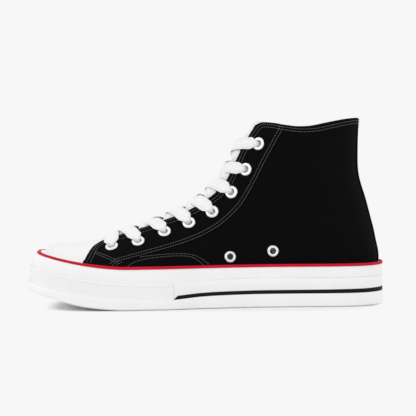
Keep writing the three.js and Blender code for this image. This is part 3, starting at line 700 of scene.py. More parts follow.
def wallInset(front):
    plain = shoe["lastInset"] - walls["eyestay"] - 2 * sole["gap"]
    return plain + (shoe["toeRubber"] - shoe["lastInset"]) * np.maximum(0, front) ** 3


# above the heel band the side comes out almost level with it round the heel
def sideInset(share, by=0.0):
    def insetAt(front):
        lean = share * foxing["toeLean"] * np.maximum(0, front) ** foxing["leanPower"]
        flush = foxing["heelFlush"] * np.clip((foxing["flushStart"] - front) / foxing["flushLength"], 0, 1)
        return foxingInset(front) + lean - flush + by
    return insetAt


def above(heightAt, by):
    return lambda x: heightAt(x) + by


def outlinePoint(angle):
    turned = np.mod(angle, 2 * np.pi)
    inner = turned <= np.pi
    fold = np.where(inner, turned, 2 * np.pi - turned)
    row = fold / np.pi * (len(outlineRows["inner"]) - 1)
    half = np.where(inner, -column(outlineRows, "inner", row), column(outlineRows, "outer", row))
    return np.stack([-heelX * np.cos(fold), half * shoe["ballWidth"]], -1)


def outlineFrame(angles):
    tangent = unit(outlinePoint(angles + 0.01) - outlinePoint(angles - 0.01))
    return outlinePoint(angles), np.stack([-tangent[:, 1], tangent[:, 0]], -1)


# the sole's outline moved inwards; the inset is a number, one for each point, or a function of the front
def outline(angles, inset):
    edge, inward = outlineFrame(angles)
    depth = inset(np.cos(angles)) if callable(inset) else inset
    return edge + inward * np.broadcast_to(depth, len(edge))[:, None]


roundAngles = (np.arange(sole["ringPoints"]) + 0.5) * 2 * np.pi / sole["ringPoints"]


def ring(heightAt, inset, angles=roundAngles):
    flat = outline(angles, inset)
    return np.column_stack([flat, heightAt(flat[:, 0])])


# where a line of heights passes zero, as fractions between its places
def crossings(line, other):
    return [(i, line[i] / (line[i] - other[i])) for i in np.nonzero(np.sign(line) != np.sign(other))[0]]


reaching = {"aside": 2.5, "behind": 3, "depth": 45, "layer": 6, "smooth": 13}


# how far in from the outline the upper's surface is met at a height
def insetToUpper(heightAt, wall):
    level = surfaceAt(netFaces()[0], np.full(netRow.size, wall)).reshape(netPoints.shape)
    height = level[..., 2] - heightAt(level[..., 0])
    loop = []
    for j in range(netRow.shape[1]):
        for i, t in crossings(height[:-1, j], height[1:, j]):
            loop.append(level[i, j] + (level[i + 1, j] - level[i, j]) * t)
        if j + 1 < netRow.shape[1]:
            for i, t in crossings(height[:, j], height[:, j + 1]):
                loop.append(level[i, j] + (level[i, j + 1] - level[i, j]) * t)
    loop = np.array(loop)[:, :2]
    edge, inward = outlineFrame(roundAngles)
    found = np.zeros(len(edge))
    for k in range(len(edge)):
        away = loop - edge[k]
        depth = away @ inward[k]
        aside = np.abs(away @ np.array([inward[k][1], -inward[k][0]]))
        facing = (depth > -reaching["behind"]) & (depth < reaching["depth"])
        near = facing & (aside < max(reaching["aside"], aside[facing].min() + 1))
        weight = np.exp(-(aside[near] ** 2))
        first = depth[near] < depth[near].min() + reaching["layer"]
        found[k] = np.average(depth[near][first], weights=weight[first] + 1e-9)
    half = reaching["smooth"] // 2
    wrapped = np.concatenate([found[-half:], found, found[:half]])
    return np.convolve(wrapped, np.ones(reaching["smooth"]) / reaching["smooth"], "valid")


# faces between rings of points; the last ring meets the first one again where the profile is closed
def ringFaces(ringCount, count, closedProfile=False, ends=False):
    faces = []
    for k in range(ringCount if closedProfile else ringCount - 1):
        low, high = k * count, ((k + 1) % ringCount) * count
        for i in range(count - 1 if ends else count):
            j = (i + 1) % count
            faces.append([low + i, low + j, high + j, high + i])
    return faces


def sweep(name, rings, closedProfile=True, ends=False, sharpAngle=35):
    count = len(rings[0])
    faces = ringFaces(len(rings), count, closedProfile, ends)
    if ends:
        faces.append([k * count for k in range(len(rings))])
        faces.append([k * count + count - 1 for k in reversed(range(len(rings)))])
    return makeMesh(name, np.vstack(rings), faces, sharpAngle=sharpAngle)


# rings that close an outline towards a line along the shoe's middle
def fillRings(edgeRing, shares, heightAt):
    middle = (edgeRing + edgeRing[::-1]) / 2
    middle[:, 0] *= 0.7
    rings = []
    for share in shares:
        flat = middle + (edgeRing - middle) * share
        flat[:, 2] = heightAt(flat[:, 0], share)
        rings.append(flat)
    return rings


# cross grooves; the waist behind the shoe's middle stays plain
tread = {"depth": 1.2, "pitch": 18.0, "gap": 3.0, "slope": 0.3, "edge": 0.86, "sunk": 0.7, "plain": 0.2}


def grooveAt(x, share):
    depth = np.zeros(x.shape)
    if share >= tread["edge"]:
        return depth
    place = toeX + 2 * tread["pitch"]
    while place < heelX - tread["pitch"]:
        if not 0 < place < shoe["soleLength"] * tread["plain"]:
            reach = tread["gap"] / 2 + tread["slope"] - np.abs(x - place)
            depth = np.maximum(depth, np.clip(reach / (2 * tread["slope"]), 0, 1))
        place += tread["pitch"]
    return depth * tread["depth"]


outsole = {
    "inset": 2.2, "corner": [(0.45, 0.95), (tread["depth"], 0.2)],  # mm above the underside, mm inwards
    "fill": [0, 0.12, 0.25, 0.4, 0.55, 0.7, 0.82, 0.855, 0.865, 0.93, 1],
    "side": [(0.45, 0.03), (0.65, 0.14), (0.8, 0.32), (0.92, 0.6), (1, 0.88)],  # share of the height, of the inset
    "footbedFill": [0.8, 0.4, 0],
}


def makeOutsole():
    low = above(undersideAt, tread["depth"])
    sunkAt = lambda x, share: np.maximum(grooveAt(x, share), tread["sunk"] * (share < tread["edge"]))
    rings = fillRings(ring(undersideAt, outsole["inset"]), outsole["fill"],
                      lambda x, share: undersideAt(x) + sunkAt(x, share))
    rings += [ring(above(undersideAt, up), inset) for up, inset in outsole["corner"]]
    for up, lean in outsole["side"]:
        rings.append(ring(lambda x: low(x) + (edgeTopAt(x) - low(x)) * up, lambda front: bandInset(front) * lean))
    top, footbed = [ring(heightAt, lambda front: wallInset(front) + sole["gap"]) for heightAt in (edgeTopAt, footbedAt)]
    rings += [top, footbed, *fillRings(footbed, outsole["footbedFill"], lambda x, share: footbedAt(x))]
    return sweep("outsoleRubber", rings, closedProfile=False)


def heelStepAt(x):
    highest = foxingTopAt(x) - redEdge["height"] - sole["touch"] - foxing["climb"][0][0] - foxing["stepClear"]
    return np.minimum(heelBand["top"] + foxing["stepOver"] + foxing["stepSpring"] * springAt(x), highest)


def makeFoxing():
    topAt = above(foxingTopAt, -redEdge["height"] - sole["touch"])
    ledgeAt = lambda x: foxingTopAt(x) - foxing["ledgeDrop"] + foxing["ledgeRise"] * tipAt(x)
    lowAt = above(footbedAt, foxing["lowReach"])
    reachTop = insetToUpper(ledgeAt, walls["quarter"] - foxing["sunk"])
    reachLow = insetToUpper(lowAt, walls["eyestay"] + foxing["clear"])
    inside = redEdge["depth"] + 0.05
    return sweep("foxingBand", [
        ring(above(edgeTopAt, sole["touch"]), foxingInset),
        ring(above(heelStepAt, -foxing["step"]), foxingInset),
        ring(heelStepAt, sideInset(0)),
        *[ring(above(topAt, -down), sideInset(share)) for down, share in foxing["climb"]],
        ring(topAt, sideInset(redEdge["lean"], foxing["lip"])),
        ring(topAt, sideInset(redEdge["lean"], inside)),
        ring(above(ledgeAt, -foxing["lip"]), sideInset(1, inside)),
        ring(ledgeAt, sideInset(1, inside + 0.3)),
        ring(ledgeAt, lambda front: np.maximum(reachTop, sideInset(1, foxing["ledgeWide"])(front))),
        ring(lowAt, reachLow),
        ring(above(footbedAt, sole["gap"]), wallInset),
        ring(above(edgeTopAt, sole["gap"]), wallInset),
    ])


def makeRedEdge():
    edges = [above(foxingTopAt, -redEdge["height"]), lambda x: foxingTopAt(x) + 0.05 - redEdge["toeDrop"] * tipAt(x)]
    profile = redEdge["outer"] + [(edge, up, share, by + redEdge["depth"]) for edge, up, share, by in redEdge["inner"]]
    return sweep("redEdge", [ring(above(edges[edge], up), sideInset(share, by)) for edge, up, share, by in profile])


# angle on the outline where it passes a place along the shoe
def angleAt(x):
    return math.acos(max(-1, min(1, -x / heelX)))


# a band between two heights, swept over the toe or round the heel; the profile is share of the height, mm inwards
def bandSweep(name, bottomAt, topAt, starts, profile, overToe=False):
    rings = []
    for up, deep in profile:
        start = angleAt(starts[0] + (starts[1] - starts[0]) * min(1, max(0, up)))
        angles = (np.linspace(-start, start, band["bumperPoints"]) if overToe
                  else np.linspace(start, 2 * math.pi - start, band["heelPoints"]))
        rings.append(ring(lambda x: bottomAt(x) + (topAt(x) - bottomAt(x)) * up, lambda front: bandInset(front) + deep,
                          angles))
    return sweep(name, rings, ends=True)


heelBand = {"start": -23.4, "top": 23.2, "drop": 1.7, "dropEnd": 45.0}
blackStripe = {"height": 3.1, "heelRise": 0.45, "riseStart": 80.0, "riseLength": 60.0, "point": (-1.2, 2.6)}
deepEdge = band["thick"] + 0.25
bandJoint = (bumper["end"] + heelBand["start"]) / 2
bandStarts = (bandJoint + 0.06, bandJoint + 0.06)
bandProfiles = {
    "bumper": [(-0.03, 0.1), (0, 0.02), (0.05, 0), (0.14, 0), (0.165, 0.4), (0.835, 0.4), (0.86, 0), (0.95, 0),
               (0.985, 0.12), (1, 0.45), (1, deepEdge), (-0.03, deepEdge)],
    "stripe": [(0, 0.15), (0.08, 0.02), (0.92, 0.02), (1, 0.15), (1, deepEdge), (0, deepEdge)],
    "heel": [(0, 0.12), (0.02, 0), (0.9, 0), (0.97, 0.18), (1, 0.6), (1, deepEdge), (0, deepEdge)],
    "tip": [(0, 0.12), (0.1, 0.1), (1, 0.1), (1, deepEdge), (0, deepEdge)],
}
bandBottomAt = above(edgeTopAt, sole["touch"])


def bumperTopAt(x):
    return np.maximum(bandBottomAt(x) + bumper["height"], bumper["toeTop"] + springAt(x))


def stripeTopAt(x):
    rise = np.clip((x - blackStripe["riseStart"]) / blackStripe["riseLength"], 0, 1)
    return bandBottomAt(x) + blackStripe["height"] + blackStripe["heelRise"] * rise


def heelTopAt(x):
    return heelBand["top"] - heelBand["drop"] * toeward(x, heelBand["dropEnd"], heelBand["start"])


insole = {"thick": 4.0, "inset": 4.2, "cup": 0.5, "bottomFill": [0, 0.5], "topFill": [1, 0.97, 0.85, 0.7, 0.5, 0.25, 0]}


def makeInsole():
    inset = lambda front: wallInset(front) + insole["inset"]
    lowAt = above(footbedAt, sole["gap"])
    topAt = above(lowAt, insole["thick"])
    low = ring(lowAt, inset)
    rings = fillRings(low, insole["bottomFill"], lambda x, share: lowAt(x)) + [low]
    rings += fillRings(ring(topAt, inset), insole["topFill"],
                       lambda x, share: topAt(x) - insole["cup"] * (1 - share**3))
    obj = sweep("insoleCloth", rings, closedProfile=False)
    layer = obj.data.uv_layers.new(name="weave")
    for loop in obj.data.loops:
        place = obj.data.vertices[loop.vertex_index].co
        layer.data[loop.index].uv = (place.x / mm, place.y / mm)
    return obj


addPiece(makeOutsole(), "outsole", "outsole_rubber", ("outsole",))
addPiece(makeFoxing(), "foxing", "foxing_rubber", ("foxing",))
addPiece(makeRedEdge(), "red", "red_rubber", ("red_stripe",))
addPiece(bandSweep("toeBumper", bandBottomAt, bumperTopAt, (bandJoint - 0.06, bandJoint - 0.06), bandProfiles["bumper"],
                   overToe=True), "bumper", "bumper_rubber", ("toe_bumper",))
addPiece(bandSweep("blackStripe", bandBottomAt, stripeTopAt, [heelBand["start"] + by for by in blackStripe["point"]],
                   bandProfiles["stripe"]), "black", "black_rubber", ("black_stripe",))
addPiece(bandSweep("heelBandTip", above(bandBottomAt, 0.02), above(stripeTopAt, 0.06), bandStarts, bandProfiles["tip"]),
         "foxing", "foxing_rubber")
addPiece(bandSweep("heelBand", above(stripeTopAt, 0.05), heelTopAt, bandStarts, bandProfiles["heel"]),
         "foxing", "foxing_rubber", ("heel_band",))
addPiece(makeInsole(), "insole", "insole_fabric", ("insole",))
print("sole made")


def newTree(name, inputs):
    tree = bpy.data.node_groups.new(name, "GeometryNodeTree")
    for key, kind in inputs.items():
        tree.interface.new_socket(name=key, in_out="INPUT", socket_type="NodeSocket" + kind)
    tree.interface.new_socket(name="Geometry", in_out="OUTPUT", socket_type="NodeSocketGeometry")
    return tree, addNode(tree, "NodeGroupInput").outputs


# copies of a shape on points, realized as one mesh in one finish
def closeTree(tree, given, shape, points, rotation):
    source = addNode(tree, "GeometryNodeObjectInfo", {"Object": given[shape]})
    copies = addNode(tree, "GeometryNodeInstanceOnPoints", {
        "Points": points, "Instance": source.outputs["Geometry"], "Rotation": rotation, "Scale": given["Size"]})
    solid = addNode(tree, "GeometryNodeRealizeInstances", {"Geometry": copies.outputs["Instances"]})
    paint = addNode(tree, "GeometryNodeSetMaterial", {
        "Geometry": solid.outputs["Geometry"], "Material": given["Finish"]})
    addNode(tree, "NodeGroupOutput", {"Geometry": paint.outputs["Geometry"]})
    return tree


def turnTo(tree, vector, inputs, **settings):
    inputs["Vector"] = vector
    return addNode(tree, "FunctionNodeAlignRotationToVector", inputs, **settings).outputs["Rotation"]


# sets copies of one shape on points that carry a facing and an along direction
def buildCopiesTree():
    tree, given = newTree("setCopiesOnPoints", {
        "Points": "Geometry", "Shape": "Object", "Size": "Vector", "Finish": "Material"})
    directions = [addNode(tree, "GeometryNodeInputNamedAttribute", {"Name": name}, data_type="FLOAT_VECTOR")
                  for name in ("facing", "along")]
    stand = turnTo(tree, directions[0].outputs[0], {}, axis="Z")
    turn = turnTo(tree, directions[1].outputs[0], {"Rotation": stand}, axis="X", pivot_axis="Z")
    return closeTree(tree, given, "Shape", given["Points"], turn)


# lays one shape end to end along lines, a pitch apart
def buildSeamTree():
    tree, given = newTree("sewAlongLines", {
        "Lines": "Geometry", "Stitch": "Object", "Pitch": "Float", "Size": "Vector", "Finish": "Material"})
    curve = addNode(tree, "GeometryNodeMeshToCurve", {"Mesh": given["Lines"]})
    spaced = addNode(tree, "GeometryNodeResampleCurve", {"Curve": curve.outputs["Curve"], "Length": given["Pitch"]},
                     mode="LENGTH")
    lay = turnTo(tree, addNode(tree, "GeometryNodeInputTangent").outputs["Tangent"], {}, axis="X")
    return closeTree(tree, given, "Stitch", spaced.outputs["Curve"], lay)


def runTree(obj, tree, values, name):
    modifier = obj.modifiers.new("nodes", "NODES")
    modifier.node_group = tree
    sockets = {item.name: item.identifier for item in tree.interface.items_tree if item.in_out == "INPUT"}
    for key, value in values.items():
        modifier[sockets[key]] = value
    bpy.context.view_layer.update()
    mesh = bpy.data.meshes.new_from_object(obj.evaluated_get(bpy.context.evaluated_depsgraph_get()))
    obj.modifiers.clear()
    bpy.data.objects.remove(obj)
    mesh.name = name
    return linkObject(name, mesh)


copiesTree = buildCopiesTree()
seamTree = buildSeamTree()


def setCopies(name, shape, points, facing, along, finish, size=(1, 1, 1)):
    cloud = makeMesh(name + "Points", points, [], merge=False)
    for key, data in (("facing", facing), ("along", along)):
        layer = cloud.data.attributes.new(key, "FLOAT_VECTOR", "POINT")
        layer.data.foreach_set("vector", np.asarray(data, np.float32).ravel())
    return runTree(cloud, copiesTree, {"Shape": shape, "Size": size, "Finish": finishes[finish]}, name)


# rolled flange, inner lip and barrel
def eyeletShape(name, radius, bore):
    crown = (radius + bore) / 2 + 0.2
    height = eyelet["height"]
    profile = [(radius - 0.1, 0.0), (radius, 0.3), (radius - 0.2, 0.75), (radius - 0.75, height + 0.05),
               (crown, height + 0.2), (bore + 0.75, height + 0.05), (bore + 0.25, height - 0.25),
               (bore, height - 0.9), (bore, -2.4), (bore + 0.35, -2.4), (bore + 0.35, 0.0)]
    angles = np.linspace(0, 2 * np.pi, eyelet["segments"], endpoint=False)
    rings = [np.column_stack([r * np.cos(angles), r * np.sin(angles), np.full(len(angles), z)]) for r, z in profile]
    return sweep(name, rings, sharpAngle=70)


def eyeletsOn(name, spots, shape, wall):
    rows, turns = [np.array([spot[key] for spot in spots]) for key in ("row", "turn")]
    facing = lastNormal(rows, turns)
    along = unit(np.cross(facing, np.tile([0.0, 1.0, 0.0], (len(spots), 1))))
    return setCopies(name, shape, skin(rows, turns, np.full(len(spots), wall + 0.05)), facing, along, "lacquer")


laceRing = eyeletShape("laceRingShape", eyelet["radius"], eyelet["bore"])
ventRing = eyeletShape("ventRingShape", eyelet["ventRadius"], eyelet["ventBore"])
hemTop = walls["eyestay"] + 0.1
for pieceName, side, nodeName in (("eyeletsInner", -1, "eyelet_medial_"), ("eyeletsOuter", 1, "eyelet_lateral_")):
    addPiece(eyeletsOn(pieceName, eyeletSpots[side], laceRing, hemTop), None, "eyelet_metal",
             tuple(f"{nodeName}{k + 1}" for k in range(len(eyeletPlaces))))
addPiece(eyeletsOn("ventEyelets", ventSpots, ventRing, walls["quarter"] + 0.1), None, "eyelet_metal",
         ("vent_eyelet_1", "vent_eyelet_2"))

# fine diamonds on the toe bumper: shares of the band's height that the rows start at and cover
diamonds = {"pitchAlong": 3.4, "pitchUp": 1.7, "size": (1.3, 1.02, 0.42), "start": 0.21, "cover": 0.58,
            "rowShare": 0.62, "sunk": 0.4, "endGap": 1.5, "fine": 3000}
diamond = makeMesh("diamondShape", [(1, 0, 0), (0, 1, 0), (-1, 0, 0), (0, -1, 0), (0.25, 0, 1), (0, 0.25, 1),
                                    (-0.25, 0, 1), (0, -0.25, 1)],
                   [(0, 1, 5, 4), (1, 2, 6, 5), (2, 3, 7, 6), (3, 0, 4, 7), (4, 5, 6, 7)], sharpAngle=20, merge=False)


def bumperDiamonds():
    bed = lambda front: bandInset(front) + diamonds["sunk"]
    reach = angleAt(bumper["end"] - diamonds["endGap"])
    fine = np.linspace(-reach, reach, diamonds["fine"])
    run = runOf(outline(fine, bed))
    points, facing, along = [], [], []
    rows = int(diamonds["rowShare"] * bumper["height"] / diamonds["pitchUp"])
    for row in range(rows + 1):
        shift = 0.5 * diamonds["pitchAlong"] * (row % 2)
        stations = np.interp(np.arange(1.0 + shift, run[-1] - 1, diamonds["pitchAlong"]), run, fine)
        edge = outline(stations, bed)
        inward = outlineFrame(stations)[1]
        low, high = bandBottomAt(edge[:, 0]), bumperTopAt(edge[:, 0])
        level = np.zeros(len(edge))
        up = diamonds["start"] + diamonds["cover"] * row / rows
        points.append(np.column_stack([edge, low + (high - low) * up]))
        facing.append(np.column_stack([-inward, level]))
        along.append(np.column_stack([inward[:, 1], -inward[:, 0], level]))
    return setCopies("bumperDiamonds", diamond, np.vstack(points), np.vstack(facing), np.vstack(along), "bumper",
                     diamonds["size"])


addPiece(bumperDiamonds(), None, "bumper_rubber")

# small lugs between the grooves under the sole
lugs = {"pitch": 5.4, "lines": 0.42, "size": (2.1, 1.5, 0.66), "margin": 13.5, "half": 60.0, "clear": 1.8, "rise": 0.72,
        "ends": (12, 10)}


def treadLugs():
    points = []
    y, line = -lugs["half"], 0
    while y < lugs["half"]:
        x = toeX + lugs["ends"][0] + (lugs["pitch"] / 2) * (line % 2)
        while x < heelX - lugs["ends"][1]:
            points.append((x, y))
            x += lugs["pitch"]
        y += lugs["pitch"] * lugs["lines"]
        line += 1
    points = np.array(points)
    edge = outline(roundAngles, lugs["margin"])
    inside = np.zeros(len(points), bool)
    for a, b in zip(edge, np.roll(edge, -1, axis=0)):
        spans = (a[1] > points[:, 1]) != (b[1] > points[:, 1])
        crossX = a[0] + (points[:, 1] - a[1]) / np.where(b[1] == a[1], 1e-9, b[1] - a[1]) * (b[0] - a[0])
        inside ^= spans & (points[:, 0] < crossX)
    grooved = sum(grooveAt(points[:, 0] + by, 0.5) for by in (0, lugs["clear"], -lugs["clear"]))
    points = points[inside & (grooved == 0)]
    x = points[:, 0]
    slope = undersideAt(x + 0.5) - undersideAt(x - 0.5)
    level, one = np.zeros(len(x)), np.ones(len(x))
    return setCopies("treadLugs", diamond, np.column_stack([points, undersideAt(x) + lugs["rise"]]),
                     unit(np.column_stack([slope, level, -one])), unit(np.column_stack([one, level, slope])),
                     "outsole", lugs["size"])


addPiece(treadLugs(), None, "outsole_rubber")
print("eyelets, bumper relief and tread set")


# lines over the net where a field has one value, kept where the other fields are positive
def isoLines(field, level, conditions):
    value = field - level
    signs = value >= 0
    mixed = np.nonzero((signs[:-1, :-1] != signs[1:, :-1]) | (signs[:-1, :-1] != signs[:-1, 1:])
                       | (signs[:-1, :-1] != signs[1:, 1:]))
    index, places, links = {}, [], []
    for i, j in zip(*mixed):
        corners = [(i, j), (i, j + 1), (i + 1, j + 1), (i + 1, j)]
        hits = []
        for a, b in withNext(corners):
            if signs[a] != signs[b]:
                low, high = min(a, b), max(a, b)
                t = value[low] / (value[low] - value[high])
                hits.append(((low, high), (low[0] + (high[0] - low[0]) * t, low[1] + (high[1] - low[1]) * t)))
        if len(hits) != 2:
            continue
        for key, place in hits:
            if key not in index:
                index[key] = len(places)
                places.append(place)
        links.append((index[hits[0][0]], index[hits[1][0]]))
    places = np.array(places)
    good = np.ones(len(places), bool)
    for condition in conditions:
        good &= sample(condition, places) > 0
    return places, [(a, b) for a, b in links if good[a] and good[b]]


seamPoints, seamLinks = [], []


def sewRow(field, level, conditions, wall):
    places, links = isoLines(field, level, conditions)
    offset = sum(len(points) for points in seamPoints)
    seamPoints.append(surfaceAt(places, wall + stitch["rise"] + sample(relief, places)))
    seamLinks.extend((a + offset, b + offset) for a, b in links)


# the throat's edge as it is seen from each side, so its rows keep even distances in that view
def throatLine(side):
    turns = np.linspace(0.0, crownTurn, 121) * side
    spots = []
    for i, row in enumerate(rowLine):
        if throat["start"] + 0.35 < row:
            wide = np.abs(lastPoint(np.full(len(turns), row), turns)[:, 1] - netMiddle[i, 0])
            rising = slice(wide.argmax() + 1)
            place = np.interp(throatHalf[i, 0], wide[rising], turns[rising])
            spot = skin(row, place, walls["eyestay"])
            spots.append((spot[0], spot[2]))
    return spots


# mm from each seam or edge to its rows of stitches, and the ends of the rows in the side view
stitch = {"pitch": 2.0, "length": 1.5, "thick": 0.5, "rise": 0.02, "seam": (0.7, 3.2), "edge": (1.4, 3.5),
          "vamp": (2.3, 4.9), "stay": 1.6, "diagonal": (0.0, 2.1), "corner": 5.0, "sides": 8,
          "clear": 0.2, "vampEnd": (0.53, 0), "diagonalEnd": (0.238, 0), "diagonalTop": (0, 0.26)}
beside = np.where(netTurn > 0, -sideDistance(throatLine(1), netX, netZ), -sideDistance(throatLine(-1), netX, netZ))
sewEdge = smoothMin(-sideDistance(sideLines["collar"], netX, netZ), beside, stitch["corner"])
aboveFoxing = netZ - foxingTopAt(netX) - stitch["clear"]
behindVamp = fields["vamp"] - stitch["vamp"][0] - stitch["clear"]
for inside in stitch["edge"]:
    sewRow(sewEdge, inside, [aboveFoxing, behindVamp, fields["eyestay"] + 0.5], walls["eyestay"])
    sewRow(sewEdge, inside, [aboveFoxing, -fields["eyestay"] - 0.7], walls["quarter"])
for inside in stitch["seam"]:
    sewRow(fields["eyestay"], inside, [aboveFoxing, sewEdge - stitch["edge"][0]], walls["eyestay"])
for inside in stitch["vamp"]:
    sewRow(fields["vamp"], inside, [aboveFoxing, fields["throat"] - 1.0], walls["eyestay"])
for line in ("vampOuter", "vampInner"):
    sewRow(fields[line], 0.0, [aboveFoxing, -fields["eyestay"] - 0.6, sidePoint(stitch["vampEnd"])[0] - netX],
           walls["quarter"])
for inside in stitch["diagonal"]:
    sewRow(fields["diagonal"], -inside, [aboveFoxing, fields["vamp"] - stitch["vamp"][1],
                                         sidePoint(stitch["diagonalEnd"])[0] - netX,
                                         sidePoint(stitch["diagonalTop"])[1] - netZ], walls["eyestay"])
sewRow(np.maximum(stayField, -4), stitch["stay"], [netZ - foxingTopAt(netX), fields["collar"] - 1.0,
                                                   np.abs(netTurn) - crownTurn], heelStay["outer"] + heelStay["thick"])


# one stitch: a rod with rounded ends, as shares of its half length and half thickness
def stitchRod():
    count = stitch["sides"]
    angles = np.linspace(0, 2 * np.pi, count, endpoint=False)
    profile = [(-1, 0.02), (-0.93, 0.5), (-0.6, 1), (0.6, 1), (0.93, 0.5), (1, 0.02)]
    rings = [np.column_stack([np.full(count, x), r * np.cos(angles), r * np.sin(angles)]) for x, r in profile]
    last = (len(rings) - 1) * count
    faces = ringFaces(len(rings), count) + [list(range(count - 1, -1, -1)), list(range(last, last + count))]
    return makeMesh("stitchShape", np.vstack(rings), faces, sharpAngle=80, merge=False)


def sewStitches():
    mesh = bpy.data.meshes.new("seamLines")
    mesh.from_pydata((np.vstack(seamPoints) * mm).tolist(), seamLinks, [])
    values = {"Stitch": stitchShape, "Pitch": stitch["pitch"] * mm, "Finish": finishes["thread"],
              "Size": (stitch["length"] / 2, stitch["thick"] / 2, stitch["thick"] / 2)}
    return runTree(linkObject("seamLines", mesh), seamTree, values, "stitches")


stitchShape = stitchRod()
addPiece(sewStitches(), None, "black_canvas")
print("seams sewn")

lace = {
    "thick": 1.35, "thin": 1.0, "hole": (4.4, 2.2), "rest": 0.47, "slack": 1.12, "ringPoints": 20, "perSpan": 7,
    "weaveHalf": 4.4, "closest": 0.25, "apart": 1.3, "apartInHole": 0.05, "holeReach": 2.5,
    "widths": [9.8, 9.6, 10.4, 10.8, 11.0, 11.0, 11.0], "barWidth": 12.0, "humps": (1.55, 0.15), "barHump": 0.6,
    "squareness": (0.6, 0.9), "steep": 0.55,
}


def betweenSpots(start, end, share):
    return [start[key] + (end[key] - start[key]) * share for key in ("row", "turn")]


def throatGap(row, turn):
    share = (row - throat["start"]) / (lastEnd - throat["start"])
    aside = abs(lastPoint(row, turn)[1] - column(lastRows, "middle", np.float64(row)) * shoe["ballWidth"])
    return aside - (throat["half"] + throat["widening"] * min(1, max(0, share)))


# shares of the way where a run crosses the two edges of the throat
def throatShares(start, end):
    inside = [share for share in np.linspace(0, 1, 201) if throatGap(*betweenSpots(start, end, share)) < 0]
    return min(inside), max(inside)


# stations of one run: share of the way, height over the last, width, thickness
def overRun(start, end, width, hump, fromUnder):
    first, last = throatShares(start, end)
    length = lace["slack"] * np.linalg.norm(skin(end["row"], end["turn"], 3.0) - skin(start["row"], start["turn"], 3.0))
    near = lambda distance: 1 - distance / length
    holeWidth, holeThick = lace["hole"]
    thick, thin = lace["thick"], lace["thin"]
    over = walls["eyestay"] + lace["rest"] + 0.75
    flange = hemTop + eyelet["height"] + 0.15
    stations = []
    if fromUnder:
        stations += [(0.0, -0.75, holeWidth, 1.3), (0.3 * first, -0.72, 6.6, thin),
                     (0.8 * first, -0.66, width - 0.6, thin), (first + 0.015, -0.3, width, 1.1),
                     (first + 0.3 * (0.5 - first), 0.9, width, thick),
                     (first + 0.65 * (0.5 - first), 1.5 + 0.4 * hump, width, thick)]
    stations += [(0.5, 1.9 + hump, width, thick), (0.5 + 0.5 * (last - 0.5), 2.7 + 0.4 * hump, width, thick),
                 (last, over, width, thick), (last + 0.4 * (near(8.5) - last), over, width, thick),
                 (near(7.6), over + 0.15, width, thick), (near(6.0), flange + 0.5, width - 0.1, thick),
                 (near(4.6), flange + 0.85, width - 0.9, thick + 0.1), (near(3.3), flange + 0.8, width - 2.4, 1.6),
                 (near(2.2), flange + 0.45, 0.5 * (width - 2.4) + 2.6, 1.8),
                 (near(1.5), flange - 0.35, holeWidth + 0.5, 2.0), (near(1.1), flange - 1.5, holeWidth, holeThick),
                 (near(0.9), 1.0, holeWidth, holeThick), (near(0.8), -0.3, holeWidth, 1.8)]
    kept = [stations[0]]
    for station in stations[1:]:
        apart = lace["apart"] if station[0] < near(lace["holeReach"]) else lace["apartInHole"]
        if (station[0] - kept[-1][0]) * length > apart:
            kept.append(station)
    return [(*betweenSpots(start, end, share), *rest) for share, *rest in kept]


# from the top eyelet of one side down to the bar, and up again on the other side
def wholeLace():
    bottom = len(eyeletPlaces) - 1

    def climb(here):
        route = []
        for level in range(bottom, 0, -1):
            hump = lace["humps"][0 if here == (1 if level % 2 else -1) else 1]
            ends = eyeletSpots[here][level], eyeletSpots[-here][level - 1]
            route += overRun(*ends, lace["widths"][level - 1], hump, True)
            here = -here
        return route

    inner, outer = eyeletSpots[-1][bottom], eyeletSpots[1][bottom]
    halves = [overRun(a, b, lace["barWidth"], lace["barHump"], False) for a, b in ((inner, outer), (outer, inner))]
    return climb(1)[::-1] + halves[0][::-1] + halves[1][1:] + climb(-1)


def laceMesh(name, stations):
    rows, turns, heights, widths, thicks = np.array(stations).T
    data = np.column_stack([skin(rows, turns, heights), lastNormal(rows, turns), widths, thicks])
    keep = [0]
    for k in range(1, len(data)):
        if np.linalg.norm(data[k, :3] - data[keep[-1], :3]) > lace["closest"]:
            keep.append(k)
    data = smoothLine(data[keep], perSpan=lace["perSpan"])
    centres, normals = data[:, :3], unit(data[:, 3:6])
    forward = unit(np.gradient(centres, axis=0))
    across = unit(np.cross(forward, normals))
    for k in range(1, len(across)):  # a steep dive into a hole keeps the width's direction
        if np.linalg.norm(np.cross(forward[k], normals[k])) < lace["steep"]:
            across[k] = unit(across[k - 1] - forward[k] * (across[k - 1] @ forward[k]))
    for _ in range(3):
        across[1:-1] = unit(across[:-2] + 2 * across[1:-1] + across[2:])
    across = unit(across - forward * (across * forward).sum(1)[:, None])
    over = unit(np.cross(across, forward))
    count, n = lace["ringPoints"], len(centres)
    angle = np.linspace(0, 2 * np.pi, count, endpoint=False)
    wide, high = [np.sign(part) * np.abs(part) ** power
                  for part, power in zip((np.cos(angle), np.sin(angle)), lace["squareness"])]
    points = (centres[:, None] + (across * data[:, [6]] / 2)[:, None] * wide[:, None]
              + (over * data[:, [7]] / 2)[:, None] * high[:, None])
    weave = np.stack([np.tile(np.cos(angle) * lace["weaveHalf"], n), np.repeat(runOf(centres), count)], -1)
    faces = [[face[0], *face[:0:-1]] for face in ringFaces(n, count)]  # turned to face outwards
    faces += [list(range(count)), list(range(n * count - 1, (n - 1) * count - 1, -1))]
    return makeMesh(name, points.reshape(-1, 3), faces, weave=weave, sharpAngle=80, merge=False)


addPiece(laceMesh("laceCotton", wholeLace()), "lace", "lace_cotton",
         ("lace_bar", *(f"lace_crossing_{k}" for k in range(1, 8))))
for shape in (laceRing, ventRing, diamond, stitchShape):
    bpy.data.objects.remove(shape)
print("lace run through the eyelets")

